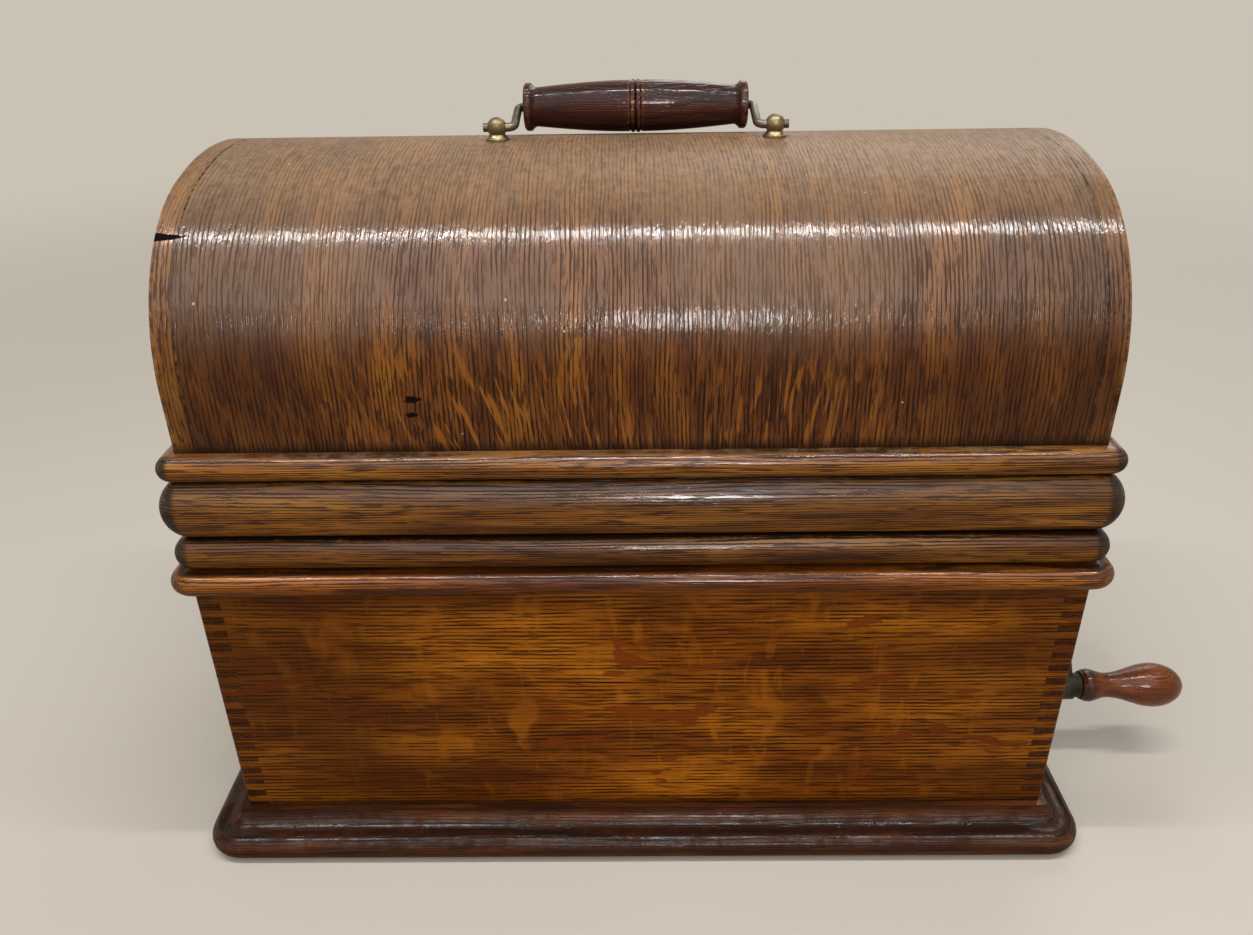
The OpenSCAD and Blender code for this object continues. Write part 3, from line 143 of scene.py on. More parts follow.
def calc(tree, how, a, b=0.0, c=0.0):
    return addNode(tree, "Math", {0: a, 1: b, 2: c}, operation=how).outputs[0]


def both(tree, a, b):
    return calc(tree, "MULTIPLY", a, b)


def most(tree, a, b):
    return calc(tree, "MAXIMUM", a, b)


def less(tree, mask):
    return calc(tree, "SUBTRACT", 1.0, mask)


def unsigned(tree, value):
    return calc(tree, "ABSOLUTE", value)


def vecCalc(tree, how, a, b, c=(0.0, 0.0, 0.0)):
    return addNode(tree, "VectorMath", {0: a, 1: b, 2: c}, operation=how).outputs[0]


def parts(tree, vec):
    return addNode(tree, "SeparateXYZ", {0: vec}).outputs[:3]


def joined(tree, x, y, z):
    return addNode(tree, "CombineXYZ", {0: x, 1: y, 2: z}).outputs[0]


def pick(tree, share, a, b):
    # the first vector where share is 0, the second where it is 1
    return addNode(tree, "Mix", {0: share, 4: a, 5: b}, data_type="VECTOR").outputs[1]


# kinds of noise, as detail and roughness
noiseKinds = {
    "soft": (2.0, 0.5), "mist": (3.0, 0.5), "cloud": (3.0, 0.55), "dash": (2.0, 0.55), "pits": (2.0, 0.6),
    "streak": (3.0, 0.6), "cast": (3.0, 0.65), "grit": (3.0, 0.7), "tarnish": (4.0, 0.6), "dirt": (4.0, 0.7),
}


def noise(tree, vec, kind, scale, seed=(0.0, 0.0, 0.0), twist=0.0, give="Fac"):
    # scale is one number, or three that stretch the pattern
    if isinstance(scale, tuple):
        vec = addNode(tree, "Mapping", {"Vector": vec, "Scale": scale, "Location": seed}).outputs[0]
        scale = 1.0
    detail, rough = noiseKinds[kind]
    made = addNode(tree, "TexNoise", {"Vector": vec, "Scale": scale, "Detail": detail,
                                      "Roughness": rough, "Distortion": twist})
    return made.outputs[give]


def span(tree, value, low, high, toLow=0.0, toHigh=1.0):
    made = addNode(tree, "MapRange", {"Value": value, "From Min": low, "From Max": high,
                                      "To Min": toLow, "To Max": toHigh}, interpolation_type="SMOOTHSTEP")
    return made.outputs[0]


def near(tree, value, at, half, soft):
    away = unsigned(tree, calc(tree, "SUBTRACT", value, at))
    return span(tree, away, half, half + soft, 1.0, 0.0)


def blend(tree, share, a, b):
    made = addNode(tree, "Mix", {0: share, 6: a, 7: b}, data_type="RGBA", clamp_factor=True)
    return made.outputs[2]


def ramp(tree, value, stops):
    made = addNode(tree, "ValToRGB", {0: value})
    bar = made.color_ramp
    bar.elements[0].position, bar.elements[0].color = stops[0]
    bar.elements[1].position, bar.elements[1].color = stops[-1]
    for place, colour in stops[1:-1]:
        bar.elements.new(place).color = colour
    return made.outputs[0]


def newFinish(name):
    made = bpy.data.materials.new(name)
    made.use_nodes = True
    tree = made.node_tree
    tree.nodes.clear()
    where = addNode(tree, "TexCoord")
    return made, tree, where.outputs["Object"], where.outputs["Normal"]


def paint(tree, skin, mask, rgb):
    skin["colour"] = blend(tree, mask, skin["colour"], tone(*rgb))


def addShader(tree, skin, fixed, bumpDepth=0.0):
    # skin changes over the surface, fixed is the same all over it
    sockets = {"Base Color": skin["colour"], "Roughness": skin["rough"]}
    if "coat" in skin:
        sockets["Coat Weight"] = skin["coat"]
    if "height" in skin:
        bump = addNode(tree, "Bump", {"Strength": 1.0, "Distance": bumpDepth, "Height": skin["height"]})
        sockets["Normal"] = bump.outputs[0]
        if "Coat Roughness" in fixed:
            sockets["Coat Normal"] = bump.outputs[0]
    sockets.update(fixed)
    shader = addNode(tree, "BsdfPrincipled", sockets)
    end = addNode(tree, "OutputMaterial")
    tree.links.new(shader.outputs[0], end.inputs[0])
    return shader, end


def dress(finish, *names):
    for name in names:
        mesh = nodes[name].data
        if mesh.materials:
            mesh.materials[0] = finish
        else:
            mesh.materials.append(finish)


# stage: one pale floor, a long overhead lamp, soft fill
studio = {
    "floorHalf": 20.0,
    "floorLight": (194, 187, 175),
    "floorShade": (187, 179, 166),
    "floorFar": (191, 183, 171),
    "floorCloud": 3.0,
    "floorRough": (0.2, 0.8, 0.55, 0.7),
    "far": (0.45, 1.7),
    "farGlow": 1.14,
    "fill": 0.24,
    "fillTint": (1.0, 0.98, 0.95, 1.0),
    "lamps": {
        "overheadBar": dict(
            place=(0.0, -0.20, 1.55), aim=(0.0, -0.10, 0.28), wide=1.9, deep=0.035, watts=17.0),
        "ceilingSoft": dict(
            place=(-0.1, -1.05, 1.75), aim=(0.0, -0.05, 0.22), wide=2.4, deep=1.5, watts=14.0),
        "wallSoft": dict(
            place=(0.0, -2.0, 1.25), aim=(0.0, -0.09, 0.22), wide=2.4, deep=1.0, watts=4.0),
        "frontSoft": dict(
            place=(0.12, -1.62, 0.95), aim=(0.0, -0.09, 0.22), wide=0.24, deep=0.30, watts=6.0),
        "backSoft": dict(
            place=(0.6, 1.6, 1.3), aim=(0.0, 0.0, 0.15), wide=1.2, deep=0.9, watts=9.0),
    },
}


def shownPlain(tree):
    # rays that show the ground itself, straight or in gloss and glass
    path = addNode(tree, "LightPath").outputs
    mirrored = most(tree, path["Is Glossy Ray"], path["Is Transmission Ray"])
    return most(tree, path["Is Camera Ray"], mirrored)


def makeFloor(spec):
    bm = bmesh.new()
    bmesh.ops.create_grid(bm, x_segments=1, y_segments=1, size=spec["floorHalf"])
    bmesh.ops.translate(bm, verts=bm.verts, vec=(0.0, 0.0, cadBox[0].z))
    mesh = bpy.data.meshes.new("paleFloor")
    bm.to_mesh(mesh)
    bm.free()
    floor = bpy.data.objects.new("paleFloor", mesh)
    scene.collection.objects.link(floor)
    finish, tree, place, _ = newFinish("paleFloor")
    cloud = noise(tree, place, "mist", spec["floorCloud"])
    colour = blend(tree, cloud, tone(*spec["floorShade"]), tone(*spec["floorLight"]))
    skin = {"colour": colour, "rough": span(tree, cloud, *spec["floorRough"])}
    shader, end = addShader(tree, skin, {})
    # far off, the floor is seen as an even pale ground
    away = addNode(tree, "VectorMath", {0: place}, operation="LENGTH").outputs["Value"]
    glow = addNode(tree, "Emission", {"Color": tone(*spec["floorFar"]), "Strength": spec["farGlow"]})
    share = both(tree, shownPlain(tree), span(tree, away, *spec["far"]))
    far = addNode(tree, "MixShader", {0: share, 1: shader.outputs[0], 2: glow.outputs[0]})
    tree.links.new(far.outputs[0], end.inputs[0])
    mesh.materials.append(finish)


def makeLamp(name, spec):
    data = bpy.data.lights.new(name, "AREA")
    data.shape = "RECTANGLE"
    data.size = spec["wide"]
    data.size_y = spec["deep"]
    data.energy = spec["watts"]
    made = bpy.data.objects.new(name, data)
    made.location = spec["place"]
    ahead = Vector(spec["aim"]) - Vector(spec["place"])
    made.rotation_euler = ahead.to_track_quat("-Z", "Y").to_euler()
    scene.collection.objects.link(made)


def makeRoom(spec):
    world = bpy.data.worlds.new("softRoom")
    world.use_nodes = True
    tree = world.node_tree
    tree.nodes.clear()
    fill = addNode(tree, "Background", {"Color": spec["fillTint"], "Strength": spec["fill"]})
    back = addNode(tree, "Background", {"Color": tone(*spec["floorFar"]), "Strength": spec["farGlow"]})
    room = addNode(tree, "MixShader", {0: shownPlain(tree), 1: fill.outputs[0], 2: back.outputs[0]})
    end = addNode(tree, "OutputWorld")
    tree.links.new(room.outputs[0], end.inputs[0])
    scene.world = world


makeFloor(studio)
for name, spec in studio["lamps"].items():
    makeLamp(name, spec)
makeRoom(studio)
print("stage set")

# what all the oak shares: colour bands, growth lines, pores and rays
oakForm = {
    "driftMean": (0.5, 0.5, 0.5),
    "stops": (0.30, 0.50, 0.72),
    "waveDetail": 2.0, "waveFine": 1.5,
    "curtainTwist": 0.5, "curtainTint": 0.5,
    "flakeTwist": 0.4,
    "stainAt": (0.42, 0.70),
    "roughAt": (0.25, 0.75),
    "poreCut": 0.6,
    "endShift": 1.7,
    "polishUp": (0.10, 0.50),
}

# shifts, so that no two patterns fall together
seeds = {
    "cloud": (3.1, 1.7, 0.4), "breaks": (0.3, 0.7, 0.1), "dashes": (0.9, 0.2, 0.5),
    "folds": (1.3, 4.1, 2.2), "rays": (5.3, 2.9, 7.7), "patches": (2.2, 6.1, 0.3),
}


def grainAlong(tree, place, run, spec=None):
    # along, across and into the board
    x, y, z = parts(tree, place)
    if run == "x":
        return joined(tree, x, z, y)
    if run == "y":
        return joined(tree, y, z, x)
    if run == "arch":
        lift = calc(tree, "SUBTRACT", z, spec["archFoot"])
        arc = both(tree, calc(tree, "ARCTAN2", y, lift), spec["archSpan"])
        out = calc(tree, "SQRT", calc(tree, "ADD", both(tree, y, y), both(tree, lift, lift)))
        return joined(tree, arc, x, out)
    # mitred frame: along x on the long sides, along y on the ends
    past = calc(tree, "SUBTRACT", unsigned(tree, x), spec["mitre"])
    atEnd = calc(tree, "GREATER_THAN", past, unsigned(tree, y))
    ends = joined(tree, calc(tree, "ADD", y, oakForm["endShift"]), z, x)
    return pick(tree, atEnd, joined(tree, x, z, y), ends)


def oak(tree, vec, look, gate=None):
    drift = noise(tree, vec, "soft", look["swayScale"], give="Color")
    shift = vecCalc(tree, "SUBTRACT", drift, oakForm["driftMean"])
    grain = vecCalc(tree, "MULTIPLY_ADD", shift, (0.0, look["sway"], look["sway"]), vec)
    bands = noise(tree, grain, "cloud", look["bandScale"])
    cloud = noise(tree, vec, "cloud", look["cloudScale"], seeds["cloud"])
    # growth lines, thin and broken along their length
    wave = addNode(tree, "TexWave", {"Vector": grain, "Scale": look["lines"], "Distortion": look["ripple"],
                                     "Detail": oakForm["waveDetail"], "Detail Scale": oakForm["waveFine"]},
                   wave_type="BANDS", bands_direction="Y")
    breaks = noise(tree, grain, "pits", look["breakScale"], seeds["breaks"])
    thick = calc(tree, "MULTIPLY_ADD", breaks, look["breakUp"], wave.outputs[1])
    lift = look["breakUp"] / 2.0
    lineMask = span(tree, thick, *(at + lift for at in look["lineAt"]))
    dashes = noise(tree, grain, "dash", look["poreScale"], seeds["dashes"])
    poreMask = span(tree, dashes, *look["poreAt"])
    tones = [tone(*look[key]) for key in ("dark", "mid", "light")]
    skin = {"colour": ramp(tree, bands, list(zip(oakForm["stops"], tones)))}
    # quartered figure: pale curtains that break the lines
    if look.get("curtain"):
        folds = noise(tree, vec, "soft", look["curtainScale"], seeds["folds"], oakForm["curtainTwist"])
        fold = span(tree, folds, *look["curtainAt"], 0.0, look["curtain"])
        paint(tree, skin, both(tree, fold, oakForm["curtainTint"]), look["ray"])
        lineMask = both(tree, lineMask, less(tree, fold))
    # ray flakes lie over the lines
    if look.get("flake"):
        along, across, deep = parts(tree, vec)
        lean = span(tree, across, *look["flakeLean"])
        leant = joined(tree, along, calc(tree, "MULTIPLY_ADD", along, lean, across), deep)
        rays = noise(tree, leant, "soft", look["flakeScale"], seeds["rays"], oakForm["flakeTwist"])
        flake = both(tree, span(tree, rays, *look["flakeAt"]), look["flake"])
        if gate is not None:
            flake = both(tree, flake, gate)
        paint(tree, skin, flake, look["ray"])
        keep = less(tree, flake)
        lineMask = both(tree, lineMask, keep)
        poreMask = both(tree, poreMask, keep)
    paint(tree, skin, both(tree, poreMask, look["poreDepth"]), look["pore"])
    paint(tree, skin, both(tree, lineMask, look["lineDepth"]), look["line"])
    stain = span(tree, cloud, *oakForm["stainAt"])
    paint(tree, skin, both(tree, stain, look["stainDepth"]), look["stain"])
    cuts = most(tree, lineMask, both(tree, poreMask, oakForm["poreCut"]))
    smooth = span(tree, cloud, *oakForm["roughAt"], *look["rough"])
    fine = noise(tree, vec, "pits", look["fineScale"])
    skin["rough"] = calc(tree, "MULTIPLY_ADD", cuts, look["cutRough"], smooth)
    skin["height"] = calc(tree, "MULTIPLY_ADD", fine, look["fine"], less(tree, cuts))
    skin["cloud"] = cloud
    skin["cuts"] = cuts
    return skin


def polish(tree, up, skin, bare, spec):
    # thickest on what faces upwards, thin in the open grain, gone where the wood is bare
    coat = span(tree, up, *oakForm["polishUp"], *spec["coat"])
    lost = most(tree, both(tree, skin["cuts"], spec["openGrain"]), bare)
    skin["coat"] = both(tree, coat, less(tree, lost))


# dome: bent veneer, grain running round the arch
dome = {
    "archFoot": 0.205, "archSpan": 0.105,
    "dark": (68, 31, 5), "mid": (96, 51, 10), "light": (136, 82, 21),
    "line": (26, 8, 1), "lineDepth": 0.9, "pore": (40, 15, 3), "poreDepth": 0.75,
    "stain": (56, 26, 12), "stainDepth": 0.35,
    "ray": (146, 86, 24), "flake": 0.85, "flakeScale": (40.0, 330.0, 20.0), "flakeAt": (0.54, 0.61),
    "flakeLean": (-0.06, 0.07, 0.30, -0.10),
    "flakeTall": (0.222, 0.252, 1.0, 0.10), "flakeMiddle": -0.01, "flakeWide": (0.07, 0.12, 1.0, 0.25),
    "patchScale": 11.0, "patchAt": (0.36, 0.54, 0.30, 1.0),
    "swayScale": (9.0, 26.0, 9.0), "sway": 0.008, "bandScale": (16.0, 70.0, 16.0),
    "lines": 188.0, "ripple": 0.9, "lineAt": (0.68, 1.02),
    "breakScale": (60.0, 520.0, 60.0), "breakUp": 1.6,
    "poreScale": (120.0, 900.0, 90.0), "poreAt": (0.53, 0.63),
    "cloudScale": (12.0, 20.0, 12.0), "rough": (0.36, 0.48), "cutRough": 0.2,
    "fineScale": (240.0, 420.0, 240.0), "fine": 2.4, "bump": 0.00006,
    # bloomed polish and painted sheen on what faces up
    "bloomAndSheen": (120, 89, 62), "bloomAndSheenUp": (0.05, 0.60, 0.0, 0.50), "bloomAndSheenAt": (0.38, 0.60, 0.30, 1.0),
    "bloomAndSheenWide": (0.09, 0.17, 1.0, 0.55),
    # painted shade towards both ends of the dome
    "ends": (46, 20, 5), "endShadeWide": (0.09, 0.17, 0.0, 0.52),
    "speckle": 260.0,
    "dust": (152, 128, 102), "dustShare": 0.60, "dustUp": (0.72, 0.98), "dustAt": (0.30, 0.70, 0.55, 1.0),
    "dustCuts": -0.40, "dustRough": 0.15,
    # painted shade along the foot of the dome
    "foot": (22, 12, 7), "footTall": 0.006, "footShare": 0.75,
    "coat": (0.12, 1.0), "openGrain": 0.85, "crownBare": (0.84, 0.94, 0.0, 0.92),
    "fixed": {"Specular IOR Level": 0.12, "Coat Roughness": 0.15},
    "nicks": [(-0.0852, 0.2238, 0.0031), (-0.0862, 0.2172, 0.0026)],   # x, z, size
    "nick": (14, 6, 3), "nickScale": (520.0, 520.0, 900.0), "nickRagged": 0.0036, "nickSoft": 0.0005,
    "nickFlat": 0.5,
    "split": {"start": -0.181, "stop": -0.165, "arc": -0.0803, "gape": 0.0019, "deep": 0.011, "skin": 0.001,
              "least": 0.00005, "ragged": 0.0012, "scale": 500.0, "tone": (12, 5, 3), "window": 0.06},
    "speck": (196, 184, 166), "speckScale": 48.0, "speckAt": (0.018, 0.034, 0.6, 0.0),
}


def rindAt(name, spec):
    # how far out the curved face lies where the split runs
    turn = spec["split"]["arc"] / spec["archSpan"]
    spots = [(v.co.y, v.co.z - spec["archFoot"]) for v in nodes[name].data.vertices]
    inWindow = [(y, lift) for y, lift in spots if abs(math.atan2(y, lift) - turn) < spec["split"]["window"]]
    return max(math.hypot(y, lift) for y, lift in inWindow)


dome["split"]["rind"] = rindAt("lid_end_left", dome)
print("split at", round(dome["split"]["rind"], 4), "from the foot of the arch")


def marks(tree, place, skin, spec):
    # an old split at the left edge of the dome, and stray pale specks
    split = spec["split"]
    x = parts(tree, place)[0]
    arc, _, out = parts(tree, grainAlong(tree, place, "arch", spec))
    ragged = calc(tree, "MULTIPLY_ADD", noise(tree, place, "soft", split["scale"]), split["ragged"], arc)
    gape = span(tree, x, split["start"], split["stop"], split["gape"], 0.0)
    gape = both(tree, gape, span(tree, out, split["rind"] - split["deep"], split["rind"] - split["skin"]))
    away = unsigned(tree, calc(tree, "SUBTRACT", ragged, split["arc"]))
    hit = calc(tree, "LESS_THAN", away, calc(tree, "SUBTRACT", gape, split["least"]))
    paint(tree, skin, hit, split["tone"])
    cells = addNode(tree, "TexVoronoi", {"Vector": place, "Scale": spec["speckScale"]}).outputs["Distance"]
    paint(tree, skin, span(tree, cells, *spec["speckAt"]), spec["speck"])
    skin["height"] = calc(tree, "SUBTRACT", skin["height"], hit)
    return hit


def footShade(tree, z, skin, spec):
    # painted shade along the foot of the dome, where it sits on the top bead
    low = lows("lid_dome").z
    paint(tree, skin, span(tree, z, low, low + spec["footTall"], spec["footShare"], 0.0), spec["foot"])


def domeFinish(spec):
    finish, tree, place, normal = newFinish("domeOak")
    x, y, z = parts(tree, place)
    up = parts(tree, normal)[2]
    # flakes show low in the middle of the front
    aside = unsigned(tree, calc(tree, "SUBTRACT", x, spec["flakeMiddle"]))
    patch = span(tree, noise(tree, place, "soft", spec["patchScale"]), *spec["patchAt"])
    gate = both(tree, span(tree, z, *spec["flakeTall"]), patch)
    gate = both(tree, gate, span(tree, aside, *spec["flakeWide"]))
    skin = oak(tree, grainAlong(tree, place, "arch", spec), spec, gate)
    # the polish has bloomed on the upper half, painted paler where it faces up as a painted sheen too, and
    # dust lies on the crown
    speckle = noise(tree, place, "grit", spec["speckle"])
    out = unsigned(tree, x)
    bloomAndSheen = both(tree, span(tree, up, *spec["bloomAndSheenUp"]), span(tree, skin["cloud"], *spec["bloomAndSheenAt"]))
    bloomAndSheen = both(tree, bloomAndSheen, span(tree, out, *spec["bloomAndSheenWide"]))
    # painted shade: both ends of the dome are painted darker
    paint(tree, skin, span(tree, out, *spec["endShadeWide"]), spec["ends"])
    paint(tree, skin, bloomAndSheen, spec["bloomAndSheen"])
    dust = both(tree, span(tree, up, *spec["dustUp"]), span(tree, speckle, *spec["dustAt"]))
    dust = both(tree, dust, calc(tree, "MULTIPLY_ADD", skin["cuts"], spec["dustCuts"], 1.0))
    paint(tree, skin, both(tree, dust, spec["dustShare"]), spec["dust"])
    skin["rough"] = calc(tree, "MULTIPLY_ADD", dust, spec["dustRough"], skin["rough"])
    footShade(tree, z, skin, spec)
    # two small ragged dents low on the front
    bare = 0.0
    front = calc(tree, "LESS_THAN", y, 0.0)
    shard = noise(tree, place, "grit", spec["nickScale"])
    for nickX, nickZ, size in spec["nicks"]:
        wide = both(tree, calc(tree, "SUBTRACT", x, nickX), spec["nickFlat"])
        tall = calc(tree, "SUBTRACT", z, nickZ)
        away = calc(tree, "SQRT", calc(tree, "ADD", both(tree, wide, wide), both(tree, tall, tall)))
        ragged = calc(tree, "MULTIPLY_ADD", shard, spec["nickRagged"], away)
        hit = both(tree, span(tree, ragged, size, size + spec["nickSoft"], 1.0, 0.0), front)
        paint(tree, skin, hit, spec["nick"])
        skin["height"] = calc(tree, "SUBTRACT", skin["height"], hit)
        bare = most(tree, bare, hit)
    bare = most(tree, bare, marks(tree, place, skin, spec))
    skin["rough"] = most(tree, skin["rough"], bare)
    bare = most(tree, bare, most(tree, dust, span(tree, up, *spec["crownBare"])))
    polish(tree, up, skin, bare, spec)
    addShader(tree, skin, spec["fixed"], spec["bump"])
    return finish


dress(domeFinish(dome), "lid_dome")

# end boards of the lid, grain level, edges showing as the bands at both ends
lidEnds = dict(
    dome,
    dark=(74, 38, 9), mid=(104, 62, 20), light=(134, 86, 35),
    lineDepth=0.6, flake=0.0,
    faceAt=(0.6, 0.8),
    speckle=240.0, dustShare=0.40, dustUp=(0.55, 1.0),
    seam=(24, 12, 6), seamHalf=0.0005, seamSoft=0.0009, seamAt=(0.35, 0.6),
    edge=(150, 108, 62), edgeWide=0.0022, edgeAt=(0.42, 0.62, 0.0, 0.6),
)


def endFinish(spec):
    finish, tree, place, normal = newFinish("lidEndOak")
    x, y, z = parts(tree, place)
    side, _, up = parts(tree, normal)
    face = span(tree, unsigned(tree, side), *spec["faceAt"])
    level = joined(tree, y, z, x)
    skin = oak(tree, pick(tree, face, grainAlong(tree, place, "arch", spec), level), spec)
    speckle = noise(tree, place, "grit", spec["speckle"])
    dust = both(tree, span(tree, up, *spec["dustUp"]), span(tree, speckle, *spec["dustAt"]))
    paint(tree, skin, both(tree, dust, spec["dustShare"]), spec["dust"])
    # glue line beside the veneer, and a worn outer edge
    out = unsigned(tree, x)
    seam = near(tree, out, highs("lid_dome").x, spec["seamHalf"], spec["seamSoft"])
    paint(tree, skin, both(tree, seam, span(tree, speckle, *spec["seamAt"])), spec["seam"])
    rim = highs("lid_end_right").x
    edge = both(tree, span(tree, out, rim - spec["edgeWide"], rim), less(tree, face))
    paint(tree, skin, both(tree, edge, span(tree, speckle, *spec["edgeAt"])), spec["edge"])
    footShade(tree, z, skin, spec)
    crack = marks(tree, place, skin, spec)
    skin["rough"] = most(tree, skin["rough"], crack)
    bare = most(tree, crack, most(tree, dust, span(tree, up, *spec["crownBare"])))
    polish(tree, up, skin, bare, spec)
    addShader(tree, skin, spec["fixed"], spec["bump"])
    return finish


dress(endFinish(lidEnds), "lid_end_left", "lid_end_right")

# three stacked beads of the lid's rim
beads = {
    "mitre": mitreOf("lid_belly_bead"),
    "dark": (68, 33, 5), "mid": (128, 76, 19), "light": (176, 116, 40),
    "line": (26, 10, 2), "lineDepth": 0.9, "pore": (48, 22, 8), "poreDepth": 0.8,
    "stain": (46, 26, 14), "stainDepth": 0.45,
    "swayScale": (7.0, 90.0, 90.0), "sway": 0.004, "bandScale": (10.0, 150.0, 150.0),
    "lines": 290.0, "ripple": 1.0, "lineAt": (0.68, 0.92),
    "breakScale": (30.0, 520.0, 520.0), "breakUp": 1.7,
    "poreScale": (70.0, 900.0, 900.0), "poreAt": (0.53, 0.64),
    "cloudScale": (8.0, 30.0, 30.0), "rough": (0.32, 0.44), "cutRough": 0.2,
    "fineScale": (300.0, 900.0, 900.0), "fine": 0.6, "bump": 0.00006,
    "coat": (0.12, 1.0), "openGrain": 0.8,
    "fixed": {"Specular IOR Level": 0.12, "Coat Roughness": 0.14},
    "speckle": 180.0,
    # painted sheen on the upper belly, painted shade on the lower bead
    "greySheen": (46, 31, 20), "greySheenFrom": (0.012, 0.018), "greySheenStop": 0.001, "greySheenShare": 0.42,
    "shade": (44, 22, 9), "shadeTall": 0.002, "shadeShare": 0.22,
    # dirt and painted shade in the quirks between the beads
    "hollowDirtAndShade": (24, 12, 5), "hollowDirtAndShadeRagged": 0.002, "hollowDirtAndShadeDrop": 0.001, "hollowDirtAndShadeHalf": 0.0004, "hollowDirtAndShadeSoft": 0.0012,
    "dust": (112, 94, 72), "dustTall": 0.0012, "dustUp": (0.80, 0.98), "dustAt": (0.42, 0.66, 0.05, 0.5),
    "worn": (32, 26, 21), "wornAt": (0.35, 0.62, 0.55, 1.0), "wornRough": 0.15,
    "turn": 0.009, "turnFrom": -0.001, "turnTo": 0.002,
    "rubbed": (0.04, 0.15, 0.0, 0.5),
}


def raggedLevel(tree, z, speckle, spec):
    # height that wavers with the speckle, for the dirt and painted shade in the hollows
    dropped = calc(tree, "SUBTRACT", z, spec["hollowDirtAndShadeDrop"])
    return calc(tree, "MULTIPLY_ADD", speckle, spec["hollowDirtAndShadeRagged"], dropped)


def beadFinish(spec):
    finish, tree, place, normal = newFinish("rimOak")
    skin = oak(tree, grainAlong(tree, place, "mitre", spec), spec)
    x, y, z = parts(tree, place)
    up = parts(tree, normal)[2]
    speckle = noise(tree, place, "dirt", spec["speckle"])
    low, mid, top = (lows(node).z for node in ("lid_lower_bead", "lid_belly_bead", "lid_top_bead"))
    # painted reflection: the upper half of the belly is painted grey as a sheen; painted shade: the lower
    # bead is darker under the belly
    greySheen = span(tree, z, *(mid + rise for rise in spec["greySheenFrom"]))
    greySheen = both(tree, greySheen, span(tree, z, top - spec["greySheenStop"], top, 1.0, 0.0))
    paint(tree, skin, both(tree, greySheen, spec["greySheenShare"]), spec["greySheen"])
    paint(tree, skin, span(tree, z, mid - spec["shadeTall"], mid, spec["shadeShare"], 0.0), spec["shade"])
    # old polish and dirt packed in the quirks between the beads, with painted shade there too
    ragged = raggedLevel(tree, z, speckle, spec)
    for level in (low, mid, top):
        paint(tree, skin, near(tree, ragged, level, spec["hollowDirtAndShadeHalf"], spec["hollowDirtAndShadeSoft"]), spec["hollowDirtAndShade"])
    # dust on the ledge under the dome
    crest = highs("lid_top_bead").z
    ledge = both(tree, span(tree, z, crest - spec["dustTall"], crest), span(tree, up, *spec["dustUp"]))
    paint(tree, skin, both(tree, ledge, span(tree, speckle, *spec["dustAt"])), spec["dust"])
    # corners knocked bare and black
    turnX, turnY = (edge - spec["turn"] for edge in highs("lid_belly_bead")[:2])
    cornerX = span(tree, unsigned(tree, x), turnX + spec["turnFrom"], turnX + spec["turnTo"])
    cornerY = span(tree, unsigned(tree, y), turnY + spec["turnFrom"], turnY + spec["turnTo"])
    corner = both(tree, cornerX, cornerY)
    paint(tree, skin, both(tree, corner, span(tree, speckle, *spec["wornAt"])), spec["worn"])
    skin["rough"] = calc(tree, "MULTIPLY_ADD", corner, spec["wornRough"], skin["rough"])
    # handled ends have lost some of their polish
    polish(tree, up, skin, span(tree, unsigned(tree, x), *spec["rubbed"]), spec)
    addShader(tree, skin, spec["fixed"], spec["bump"])
    return finish


dress(beadFinish(beads), "lid_lower_bead", "lid_belly_bead", "lid_top_bead")

# deck board with its bullnose, redder and glossier
deck = dict(
    beads,
    mitre=mitreOf("deck_frame"),
    dark=(70, 29, 2), mid=(120, 62, 6), light=(158, 92, 16),
    line=(34, 12, 3), lineDepth=0.85, stain=(56, 19, 5), stainDepth=0.5,
    rough=(0.28, 0.40), coat=(0.06, 0.60),
    fixed={"Specular IOR Level": 0.12, "Coat Roughness": 0.12},
    worn=(62, 40, 24), wornAt=(0.4, 0.6, 0.1, 0.8), wornFrom=-0.022, wornTo=-0.006,
    streak=(34, 13, 6), streakShare=0.8, streakX=(-0.095, 0.020, 0.02),
    streakRise=0.0035, streakZ=(0.0010, 0.0012),
    flat=(46, 25, 11), flatUp=(0.90, 0.99), flatAt=(0.3, 0.6, 0.35, 0.65),
)


def deckFinish(spec):
    finish, tree, place, normal = newFinish("deckOak")
    skin = oak(tree, grainAlong(tree, place, "mitre", spec), spec)
    x, y, z = parts(tree, place)
    up = parts(tree, normal)[2]
    speckle = noise(tree, place, "dirt", spec["speckle"])
    # worn corners
    reach = highs("deck_frame").x + highs("deck_frame").y
    out = calc(tree, "ADD", unsigned(tree, x), unsigned(tree, y))
    corner = span(tree, out, reach + spec["wornFrom"], reach + spec["wornTo"])
    paint(tree, skin, both(tree, corner, span(tree, speckle, *spec["wornAt"])), spec["worn"])
    # a dark streak in the front edge
    level = near(tree, z, lows("deck_frame").z + spec["streakRise"], *spec["streakZ"])
    streak = both(tree, near(tree, x, *spec["streakX"]), level)
    paint(tree, skin, both(tree, streak, spec["streakShare"]), spec["streak"])
    # dirt on the flat beside the lid
    flat = both(tree, span(tree, up, *spec["flatUp"]), span(tree, speckle, *spec["flatAt"]))
    paint(tree, skin, flat, spec["flat"])
    polish(tree, up, skin, flat, spec)
    addShader(tree, skin, spec["fixed"], spec["bump"])
    return finish


dress(deckFinish(deck), "deck_frame")
print("lid and deck dressed")

